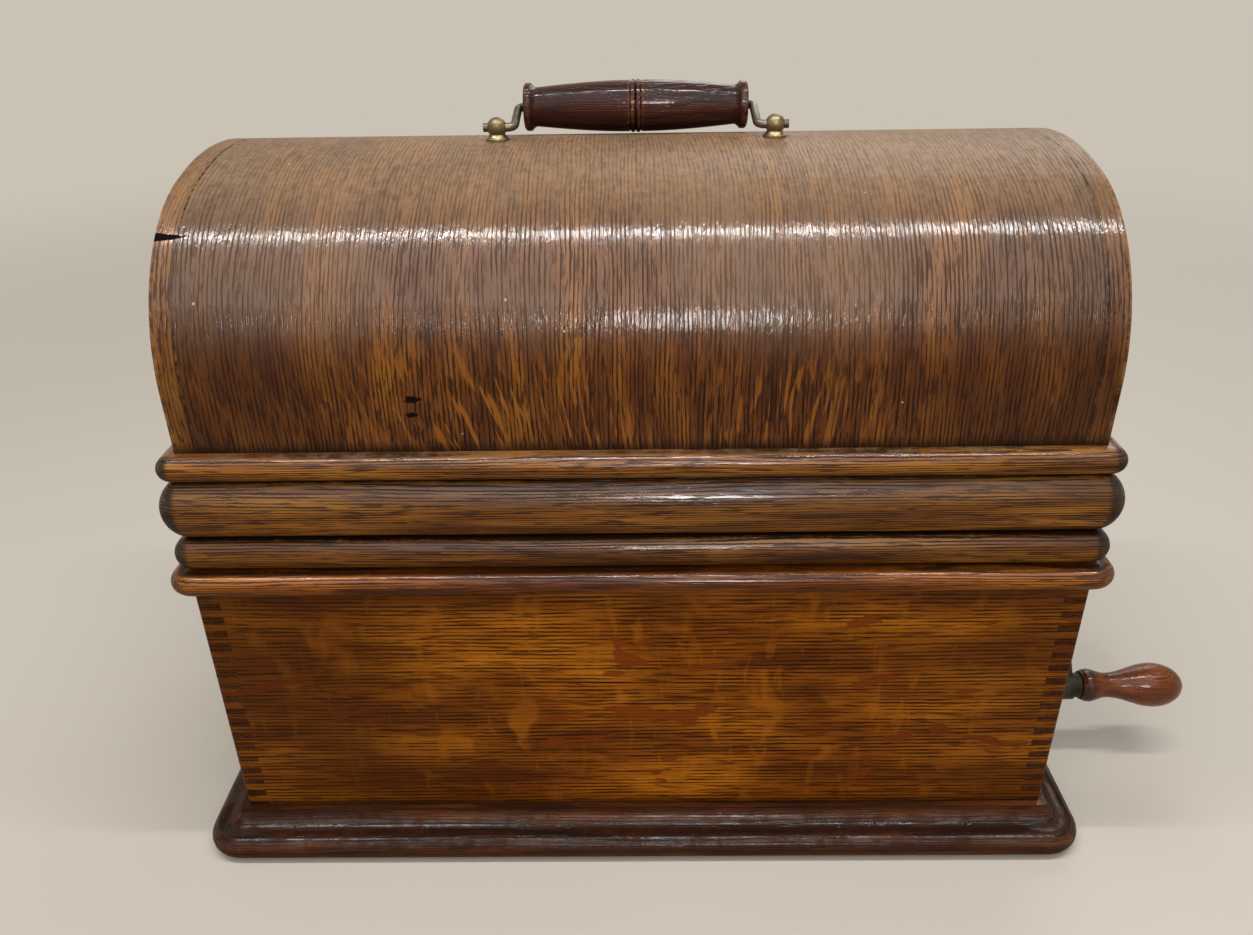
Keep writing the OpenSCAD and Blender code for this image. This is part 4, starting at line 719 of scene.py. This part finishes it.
# box boards with finger joints: end grain shows dark in the corners
box = {
    "dark": (92, 42, 3), "mid": (140, 76, 8), "light": (190, 114, 20),
    "line": (34, 12, 1), "lineDepth": 0.93, "pore": (60, 26, 3), "poreDepth": 0.7,
    "stain": (74, 32, 4), "stainDepth": 0.55,
    "ray": (170, 98, 16), "flake": 0.60, "flakeScale": (62.0, 44.0, 30.0), "flakeAt": (0.56, 0.72),
    "flakeLean": (-1.0, 1.0, 0.2, 0.2),
    "curtain": 0.42, "curtainScale": (150.0, 34.0, 40.0), "curtainAt": (0.60, 0.68),
    "swayScale": (6.0, 30.0, 20.0), "sway": 0.005, "bandScale": (9.0, 46.0, 30.0),
    "lines": 158.0, "ripple": 1.0, "lineAt": (0.66, 0.98),
    "breakScale": (34.0, 420.0, 260.0), "breakUp": 1.7,
    "poreScale": (60.0, 800.0, 700.0), "poreAt": (0.53, 0.64),
    "cloudScale": (14.0, 26.0, 12.0), "rough": (0.34, 0.48), "cutRough": 0.2,
    "fineScale": (300.0, 900.0, 900.0), "fine": 0.4, "bump": 0.00005,
    "fixed": {"Specular IOR Level": 0.06},
    "patch": (112, 48, 7), "patchScale": (26.0, 72.0, 30.0), "patchTwist": 0.6,
    "patchAt": (0.640, 0.655, 0.0, 0.85),
    # painted shade towards the ends, under the deck and along the foot
    "shade": (58, 26, 4), "shadeLeft": (-0.16, -0.02, 0.55, 0.0), "shadeRight": (0.06, 0.18, 0.0, 0.40),
    "under": (44, 20, 8), "shadeUnderTall": 0.022, "shadeUnderShare": 0.45,
    "foot": (26, 13, 7), "footTall": 0.004, "footShare": 0.7,
    "endAt": (0.6, 0.8), "endShare": 0.85,
    "endGrain": (26, 11, 3), "endPale": (54, 25, 8), "pitScale": 900.0, "pitAt": (0.40, 0.62),
}


def boxFinish(name, spec, run):
    finish, tree, place, normal = newFinish(name)
    vec = grainAlong(tree, place, run)
    skin = oak(tree, vec, spec)
    x, _, z = parts(tree, place)
    # amber patches where the ray figure is cut flat
    patches = noise(tree, vec, "soft", spec["patchScale"], seeds["patches"], spec["patchTwist"])
    paint(tree, skin, span(tree, patches, *spec["patchAt"]), spec["patch"])
    # painted shade: darker towards the ends, under the deck and along the foot
    if run == "x":
        paint(tree, skin, span(tree, x, *spec["shadeLeft"]), spec["shade"])
        paint(tree, skin, span(tree, x, *spec["shadeRight"]), spec["shade"])
    top = highs("front_panel").z
    paint(tree, skin, span(tree, z, top - spec["shadeUnderTall"], top, 0.0, spec["shadeUnderShare"]), spec["under"])
    low = highs("base_moulding").z
    paint(tree, skin, span(tree, z, low, low + spec["footTall"], spec["footShare"], 0.0), spec["foot"])
    # end grain on the finger ends
    facing = parts(tree, normal)[0 if run == "x" else 1]
    ends = span(tree, unsigned(tree, facing), *spec["endAt"])
    pits = span(tree, noise(tree, place, "pits", spec["pitScale"]), *spec["pitAt"])
    sawn = blend(tree, pits, tone(*spec["endGrain"]), tone(*spec["endPale"]))
    skin["colour"] = blend(tree, both(tree, ends, spec["endShare"]), skin["colour"], sawn)
    addShader(tree, skin, spec["fixed"], spec["bump"])
    return finish


dress(boxFinish("boxOakLong", box, "x"), "front_panel", "back_panel")
dress(boxFinish("boxOakShort", box, "y"), "left_panel", "right_panel")

# base moulding, almost black with a satin polish
base = dict(
    beads,
    mitre=mitreOf("base_moulding"),
    dark=(40, 17, 6), mid=(64, 32, 13), light=(94, 51, 21),
    line=(24, 9, 3), lineDepth=0.5, pore=(26, 11, 4), poreDepth=0.5, stain=(34, 15, 8), stainDepth=0.6,
    rough=(0.34, 0.46), coat=(0.02, 0.70),
    fixed={"Specular IOR Level": 0.05, "Coat Roughness": 0.20},
    speckle=150.0,
    foot=(112, 58, 18), footTall=(0.0012, 0.0042), footAt=(0.3, 0.55, 0.5, 1.0),
    worn=(88, 62, 42), wornScale=(30.0, 60.0, 160.0), wornAt=(0.60, 0.72, 0.0, 0.35),
    # dirt and painted shade in the hollow above the bullnose
    hollowDirtAndShade=(20, 11, 7), hollowDirtAndShadeRise=0.0125, hollowDirtAndShadeRagged=0.003, hollowDirtAndShadeDrop=0.0015,
    hollowDirtAndShadeHalf=0.0004, hollowDirtAndShadeSoft=0.0014, hollowDirtAndShadeAt=(0.3, 0.6, 0.25, 0.7),
    rubbed=(0.36, 0.62, 0.85, 0.15),
)


def baseFinish(spec):
    finish, tree, place, normal = newFinish("baseOak")
    skin = oak(tree, grainAlong(tree, place, "mitre", spec), spec)
    z = parts(tree, place)[2]
    up = parts(tree, normal)[2]
    speckle = noise(tree, place, "dirt", spec["speckle"])
    low = lows("base_moulding").z
    # a paler line along the foot, and scuffs
    foot = span(tree, z, *(low + rise for rise in spec["footTall"]), 1.0, 0.0)
    paint(tree, skin, both(tree, foot, span(tree, speckle, *spec["footAt"])), spec["foot"])
    scuff = noise(tree, place, "dirt", spec["wornScale"])
    paint(tree, skin, span(tree, scuff, *spec["wornAt"]), spec["worn"])
    # dirt and painted shade along the hollow above the bullnose
    ragged = raggedLevel(tree, z, speckle, spec)
    dirt = near(tree, ragged, low + spec["hollowDirtAndShadeRise"], spec["hollowDirtAndShadeHalf"], spec["hollowDirtAndShadeSoft"])
    paint(tree, skin, both(tree, dirt, span(tree, speckle, *spec["hollowDirtAndShadeAt"])), spec["hollowDirtAndShade"])
    # the polish is rubbed through in specks
    polish(tree, up, skin, span(tree, speckle, *spec["rubbed"]), spec)
    addShader(tree, skin, spec["fixed"], spec["bump"])
    return finish


dress(baseFinish(base), "base_moulding")

# plain pine inside the case
pine = dict(
    beads,
    dark=(150, 112, 68), mid=(178, 140, 92), light=(196, 162, 114),
    line=(140, 96, 52), lineDepth=0.5, pore=(150, 110, 66), poreDepth=0.35,
    stain=(120, 88, 56), stainDepth=0.35,
    lines=46.0, breakUp=0.6, lineAt=(0.6, 0.95), rough=(0.5, 0.68),
    fixed={"Specular IOR Level": 0.3},
)


def pineFinish(spec):
    finish, tree, place, _ = newFinish("innerPine")
    skin = oak(tree, grainAlong(tree, place, "x"), spec)
    addShader(tree, skin, spec["fixed"], spec["bump"])
    return finish


dress(pineFinish(pine), "bottom_board", "bed_rails")
print("box and base dressed")

# turned handles: close-grained wood under thick polish
carryGrip = dict(
    beads,
    dark=(30, 7, 3), mid=(52, 15, 7), light=(80, 28, 12),
    line=(16, 5, 3), lineDepth=0.5, pore=(24, 8, 5), poreDepth=0.5, stain=(20, 7, 6), stainDepth=0.4,
    lines=330.0, rough=(0.14, 0.24), cutRough=0.15, fine=0.8, fineScale=(300.0, 400.0, 400.0), bump=0.00008,
    fixed={"Specular IOR Level": 0.05, "Coat Weight": 0.5, "Coat Roughness": 0.05},
    speckle=420.0,
    ridge=(112, 70, 34), ridgeAt=(0.42, 0.60, 0.0, 0.6), twinBeads=(0.0022, 0.0006, 0.0012),
    lipFrom=-0.0035, lipTo=-0.001,
)


def carryFinish(spec):
    finish, tree, place, _ = newFinish("gripWood")
    skin = oak(tree, grainAlong(tree, place, "x"), spec)
    out = unsigned(tree, parts(tree, place)[0])
    speckle = noise(tree, place, "grit", spec["speckle"])
    # polish rubbed off the twin beads and the end lips
    tip = highs("handle_grip").x
    lips = span(tree, out, tip + spec["lipFrom"], tip + spec["lipTo"])
    ridges = most(tree, near(tree, out, *spec["twinBeads"]), lips)
    paint(tree, skin, both(tree, ridges, span(tree, speckle, *spec["ridgeAt"])), spec["ridge"])
    addShader(tree, skin, spec["fixed"], spec["bump"])
    return finish


dress(carryFinish(carryGrip), "handle_grip")

crankGrip = dict(
    carryGrip,
    dark=(76, 30, 5), mid=(108, 50, 10), light=(138, 70, 18),
    line=(60, 22, 5), stain=(66, 24, 6), pore=(40, 14, 4),
    collar=(26, 11, 6), collarAt=(0.004, 0.009), collarShare=0.7,
)


def crankFinish(spec):
    finish, tree, place, _ = newFinish("crankWood")
    skin = oak(tree, grainAlong(tree, place, "x"), spec)
    x = parts(tree, place)[0]
    # darker beside the ferrule
    start = lows("crank_grip").x
    collar = span(tree, x, *(start + reach for reach in spec["collarAt"]), spec["collarShare"], 0.0)
    paint(tree, skin, collar, spec["collar"])
    addShader(tree, skin, spec["fixed"], spec["bump"])
    return finish


dress(crankFinish(crankGrip), "crank_grip")
print("handles dressed")

# metals: tarnish clouds, drawn scratches, pits
metals = {
    "agedBrass": dict(
        bright=(164, 148, 112), dull=(114, 101, 75), dark=(52, 44, 32),
        rough=(0.28, 0.5), run=(480.0, 480.0, 480.0),
        nodes=("handle_posts", "catch_plates", "left_catch", "right_catch", "crank_escutcheon")),
    "cleanBrass": dict(
        bright=(190, 152, 84), dull=(150, 112, 56), dark=(92, 66, 32),
        rough=(0.22, 0.4), run=(160.0, 1280.0, 1280.0),
        nodes=("bedplate_screws", "speed_screw", "spring_barrel", "barrel_cap", "motor_pulley",
               "governor_disc", "half_nut")),
    "nickel": dict(
        bright=(206, 200, 188), dull=(172, 164, 148), dark=(112, 100, 82),
        rough=(0.16, 0.32), run=(80.0, 1440.0, 1440.0),
        nodes=("back_rod", "straight_edge", "mandrel", "carriage_sleeve", "reproducer", "start_lever")),
    "dullWire": dict(
        bright=(122, 112, 98), dull=(88, 78, 64), dark=(46, 36, 26),
        rough=(0.34, 0.55), run=(720.0, 720.0, 720.0),
        nodes=("handle_bail",)),
    "blackIron": dict(
        bright=(74, 70, 64), dull=(46, 42, 37), dark=(20, 17, 14),
        rough=(0.30, 0.50), run=(720.0, 720.0, 720.0),
        nodes=("crank_arm",)),
    "cutSteel": dict(
        bright=(168, 166, 162), dull=(136, 132, 126), dark=(80, 74, 66),
        rough=(0.24, 0.42), run=(96.0, 1760.0, 1760.0),
        nodes=("mandrel_shaft", "winding_shaft", "barrel_arbor", "mainspring", "second_arbor", "pulley_shaft",
               "governor_shaft", "governor_springs", "governor_weights", "motor_pillars", "winding_brake")),
}
metalForm = {
    "cloudScale": 55.0, "dullAt": (0.36, 0.64), "roughAt": (0.3, 0.7),
    "scratchAt": (0.55, 0.75, 0.0, 0.35), "scratchRise": 0.3,
    "pitScale": 700.0, "pitAt": (0.64, 0.74, 0.0, 0.7), "pitRough": 0.2, "pitRise": -0.6,
    "bump": 0.00015,
    "fixed": {"Metallic": 1.0},
}


def metalFinish(name, spec, form):
    finish, tree, place, _ = newFinish(name)
    cloud = noise(tree, place, "tarnish", form["cloudScale"])
    scratch = noise(tree, place, "streak", spec["run"])
    pits = span(tree, noise(tree, place, "pits", form["pitScale"]), *form["pitAt"])
    dulled = span(tree, cloud, *form["dullAt"])
    skin = {"colour": blend(tree, dulled, tone(*spec["bright"]), tone(*spec["dull"]))}
    paint(tree, skin, span(tree, scratch, *form["scratchAt"]), spec["dark"])
    paint(tree, skin, pits, spec["dark"])
    smooth = span(tree, cloud, *form["roughAt"], *spec["rough"])
    skin["rough"] = calc(tree, "MULTIPLY_ADD", pits, form["pitRough"], smooth)
    pitted = both(tree, pits, form["pitRise"])
    skin["height"] = calc(tree, "MULTIPLY_ADD", scratch, form["scratchRise"], pitted)
    addShader(tree, skin, form["fixed"], form["bump"])
    return finish


finishes = {}
for name, spec in metals.items():
    finishes[name] = metalFinish(name, spec, metalForm)
    dress(finishes[name], *spec["nodes"])

# black japan on the castings
japan = {
    "deep": (12, 11, 10), "worn": (30, 27, 24), "wornAt": (0.35, 0.7), "cloudScale": 26.0,
    "chip": (92, 84, 74), "chipAt": (0.70, 0.76, 0.0, 0.6), "gritScale": 420.0,
    "dust": (88, 80, 70), "dustUp": (0.85, 1.0), "dustAt": (0.35, 0.7, 0.03, 0.16), "dustRough": 0.8,
    "roughAt": (0.3, 0.7, 0.24, 0.38), "bump": 0.00012,
    "fixed": {"Coat Weight": 0.5, "Coat Roughness": 0.12},
    "nodes": ("bedplate", "left_standard", "centre_standard", "rod_posts", "mandrel_pulley", "carriage_arm",
              "end_gate", "motor_plate_left", "motor_plate_right"),
}


def japanFinish(spec):
    finish, tree, place, normal = newFinish("blackJapan")
    up = parts(tree, normal)[2]
    cloud = noise(tree, place, "streak", spec["cloudScale"])
    grit = noise(tree, place, "cast", spec["gritScale"])
    worn = span(tree, cloud, *spec["wornAt"])
    skin = {"colour": blend(tree, worn, tone(*spec["deep"]), tone(*spec["worn"]))}
    paint(tree, skin, span(tree, grit, *spec["chipAt"]), spec["chip"])
    dust = both(tree, span(tree, up, *spec["dustUp"]), span(tree, cloud, *spec["dustAt"]))
    paint(tree, skin, dust, spec["dust"])
    skin["rough"] = calc(tree, "MULTIPLY_ADD", dust, spec["dustRough"], span(tree, cloud, *spec["roughAt"]))
    skin["height"] = grit
    addShader(tree, skin, spec["fixed"], spec["bump"])
    return finish


dress(japanFinish(japan), *japan["nodes"])

# leather belt and brake pad
hide = {
    "light": (112, 74, 42), "dark": (66, 38, 20), "cloudScale": 90.0,
    "crease": (36, 20, 11), "creaseAt": (0.02, 0.12, 0.6, 0.0), "cellScale": 900.0,
    "roughAt": (0.3, 0.7, 0.5, 0.7), "bump": 0.0002,
}


def hideFinish(spec):
    finish, tree, place, _ = newFinish("beltHide")
    sockets = {"Vector": place, "Scale": spec["cellScale"]}
    cells = addNode(tree, "TexVoronoi", sockets, feature="DISTANCE_TO_EDGE").outputs[0]
    cloud = noise(tree, place, "streak", spec["cloudScale"])
    skin = {"colour": blend(tree, cloud, tone(*spec["dark"]), tone(*spec["light"]))}
    paint(tree, skin, span(tree, cells, *spec["creaseAt"]), spec["crease"])
    skin["rough"] = span(tree, cloud, *spec["roughAt"])
    skin["height"] = cells
    addShader(tree, skin, {}, spec["bump"])
    return finish


dress(hideFinish(hide), "drive_belt", "governor_brake")
print("metals, castings and belt dressed")


# small pieces, raised and spun from flat outlines
def raiseFaces(bm, faces, rise):
    edges = dict.fromkeys(e for f in faces for e in f.edges)   # each once, in order
    made = bmesh.ops.extrude_face_region(bm, geom=list(faces) + list(edges))["geom"]
    moved = [v for v in made if isinstance(v, bmesh.types.BMVert)]
    bmesh.ops.translate(bm, verts=moved, vec=(0.0, 0.0, rise))
    return [f for f in made if isinstance(f, bmesh.types.BMFace)]


smoothUnder = 32.0   # degrees


def addPiece(name, bm, spec):
    bmesh.ops.recalc_face_normals(bm, faces=bm.faces[:])
    mesh = bpy.data.meshes.new(name)
    bm.to_mesh(mesh)
    bm.free()
    mesh.shade_smooth()
    mesh.set_sharp_from_angle(angle=math.radians(smoothUnder))
    mesh.materials.append(finishes[spec["finish"]])
    piece = bpy.data.objects.new(name, mesh)
    scene.collection.objects.link(piece)
    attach(piece, spec["body"])
    if "replaces" in spec:
        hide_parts(spec["replaces"])


# slotted screws in the bed and in the brass plates (metres)
def bedPlaces(spec):
    far = highs("bedplate_screws")
    x = far.x - spec["head"]
    y = far.y - spec["head"]
    return [(k * x, s * y, far.z - spec["rise"]) for k in (-1, 0, 1) for s in (-1, 1)]


def escutcheonPlaces(spec):
    face = highs("crank_escutcheon").x
    mid = middle("crank_escutcheon")
    ring = spec["ring"]
    turns = [math.tau * k / spec["count"] for k in range(spec["count"])]
    return [(face, mid.y + ring * math.sin(turn), mid.z + ring * math.cos(turn)) for turn in turns]


def catchPlaces(spec):
    face = spec["facing"][0] * highs("lid_belly_bead").x
    out = highs("catch_plates").y - spec["inset"]
    mid = middle("catch_plates").z
    return [(face, s * out, mid + r * spec["spread"]) for s in (-1, 1) for r in (-1, 1)]


screws = {
    "bedScrews": dict(
        head=0.0036, rise=0.0022, slot=0.0009, slotDeep=0.0011, soft=0.0007, softSteps=4,
        shank=0.002, deep=0.0145, sides=32, firstTurn=0.3, eachTurn=0.7,
        facing=(0.0, 0.0, 1.0), places=bedPlaces,
        body="case", slotName="brass", finish="cleanBrass", replaces="bedplate_screws"),
    "escutcheonScrews": dict(
        head=0.0018, rise=0.0009, slot=0.0005, slotDeep=0.0005, soft=0.0003, softSteps=4,
        shank=0.0009, deep=0.002, sides=24, firstTurn=0.3, eachTurn=0.7,
        facing=(1.0, 0.0, 0.0), places=escutcheonPlaces, ring=0.0104, count=3,
        body="case", slotName="aged_brass", finish="agedBrass"),
}
for side, plate in ((-1.0, "left"), (1.0, "right")):
    screws[plate + "CatchScrews"] = dict(
        screws["escutcheonScrews"], head=0.0015, facing=(side, 0.0, 0.0), body="lid",
        places=catchPlaces, inset=0.0030, spread=0.0063)


def slottedScrew(spec):
    half = spec["slot"] / 2.0
    pastWall = half * 1.01   # beyond the wall of the slot
    flush = 1e-7             # as good as level with the seat
    bm = bmesh.new()
    bmesh.ops.create_circle(bm, cap_ends=True, segments=spec["sides"], radius=spec["head"])
    for wall in (-half, half):
        bmesh.ops.bisect_plane(bm, geom=bm.verts[:] + bm.edges[:] + bm.faces[:], plane_co=(0.0, wall, 0.0),
                               plane_no=(0.0, 1.0, 0.0))
    # the disc rises to the floor of the slot, then the two lands beside it
    top = raiseFaces(bm, bm.faces[:], spec["rise"] - spec["slotDeep"])
    lands = raiseFaces(bm, [f for f in top if abs(f.calc_center_median().y) > half], spec["slotDeep"])
    around = dict.fromkeys(e for f in lands for e in f.edges)
    rounded = [e for e in around if any(abs(v.co.y) > pastWall for v in e.verts)]
    bmesh.ops.bevel(bm, geom=rounded, offset=spec["soft"], segments=spec["softSteps"], profile=0.5,
                    affect="EDGES", material=-1)
    # the shank goes down from the seat
    seat = [f for f in bm.faces if abs(f.calc_center_median().z) < flush]
    under = bmesh.ops.dissolve_faces(bm, faces=seat)["region"]
    bmesh.ops.inset_region(bm, faces=under, thickness=spec["head"] - spec["shank"], use_even_offset=True)
    raiseFaces(bm, under, -spec["deep"])
    return bm


def makeScrews(name, spec):
    one = slottedScrew(spec)
    pattern = bpy.data.meshes.new("pattern")
    one.to_mesh(pattern)
    one.free()
    whole = bmesh.new()
    face = Vector(spec["facing"]).to_track_quat("Z", "Y").to_matrix().to_4x4()
    places = spec["places"](spec)
    for count, place in enumerate(places):
        whole.from_mesh(pattern)
        added = whole.verts[-len(pattern.vertices):]
        twist = Matrix.Rotation(spec["eachTurn"] * count + spec["firstTurn"], 4, "Z")
        bmesh.ops.transform(whole, matrix=Matrix.Translation(place) @ face @ twist, verts=added)
    bpy.data.meshes.remove(pattern)
    addPiece(name, whole, spec)
    return len(places)


driven = [makeScrews(name, spec) for name, spec in screws.items()]
print("screws driven:", sum(driven))

# thread of the feed screw: a ridge wound round the shaft (metres)
thread = {
    "pitch": 0.001, "foot": 0.0001, "crest": 0.0002, "width": 0.0008, "steps": 20,
    "start": highs("left_standard").x, "stop": lows("centre_standard").x, "clear": 0.0035,
    "axis": middle("mandrel_shaft"),
    "radius": (highs("mandrel_shaft").z - lows("mandrel_shaft").z) / 2.0,
    "body": "mandrel_set", "slotName": "steel", "finish": "cutSteel",
}


def makeThread(name, spec):
    start = spec["start"] + spec["clear"]
    stop = spec["stop"] - spec["clear"]
    turns = int((stop - start) / spec["pitch"])
    axis = spec["axis"]
    bm = bmesh.new()
    # a triangle with its point outwards, as wide and as tall as the ridge
    bmesh.ops.create_circle(bm, cap_ends=True, segments=3, radius=1.0)
    lowest = min(v.co.y for v in bm.verts)
    bmesh.ops.translate(bm, verts=bm.verts, vec=(0.0, -lowest, 0.0))
    broad = max(v.co.x for v in bm.verts) - min(v.co.x for v in bm.verts)
    high = max(v.co.y for v in bm.verts)
    tall = spec["foot"] + spec["crest"]
    bmesh.ops.scale(bm, verts=bm.verts, vec=(spec["width"] / broad, tall / high, 1.0))
    root = axis.y + spec["radius"] - spec["foot"]
    bmesh.ops.translate(bm, verts=bm.verts, vec=(start, root, axis.z))
    bmesh.ops.spin(bm, geom=bm.verts[:] + bm.edges[:] + bm.faces[:], cent=axis, axis=(1.0, 0.0, 0.0),
                   dvec=(spec["pitch"] / spec["steps"], 0.0, 0.0), angle=math.tau * turns,
                   steps=spec["steps"] * turns)
    addPiece(name, bm, spec)


makeThread("feedThread", thread)

# knurled head of the speed screw, on its plain stem (metres)
knob = {
    "teeth": 40, "sink": 0.06, "edge": 0.0009, "tall": 0.008, "stem": 0.003,
    "low": lows("speed_screw"), "high": highs("speed_screw"), "middle": middle("speed_screw"),
    "body": "speed", "slotName": "brass", "finish": "cleanBrass", "replaces": "speed_screw",
}


def setRings(bm, faces, radii):
    # puts the corners of the faces on rings about the upright axis, taken in turn
    for count, vert in enumerate(dict.fromkeys(v for f in faces for v in f.verts)):
        grow = radii[count % len(radii)] / math.hypot(vert.co.x, vert.co.y)
        bmesh.ops.scale(bm, verts=[vert], vec=(grow, grow, 1.0))


def makeKnob(name, spec):
    crest = (spec["high"].x - spec["low"].x) / 2.0
    valley = crest * (1.0 - spec["sink"])
    inner = valley - spec["edge"]
    bm = bmesh.new()
    bmesh.ops.create_circle(bm, cap_ends=True, segments=2 * spec["teeth"], radius=inner)
    under = bm.faces[:]
    top = raiseFaces(bm, under, spec["edge"])
    setRings(bm, top, (crest, valley))
    top = raiseFaces(bm, top, spec["tall"] - 2.0 * spec["edge"])
    top = raiseFaces(bm, top, spec["edge"])
    setRings(bm, top, (inner,))
    # the stem goes down from the underside
    under = raiseFaces(bm, under, 0.0)
    setRings(bm, under, (spec["stem"],))
    raiseFaces(bm, under, spec["low"].z - spec["high"].z + spec["tall"])
    seat = (spec["middle"].x, spec["middle"].y, spec["high"].z - spec["tall"])
    bmesh.ops.translate(bm, verts=bm.verts, vec=seat)
    addPiece(name, bm, spec)


makeKnob("speedKnob", knob)
print("feed thread and speed knob added")
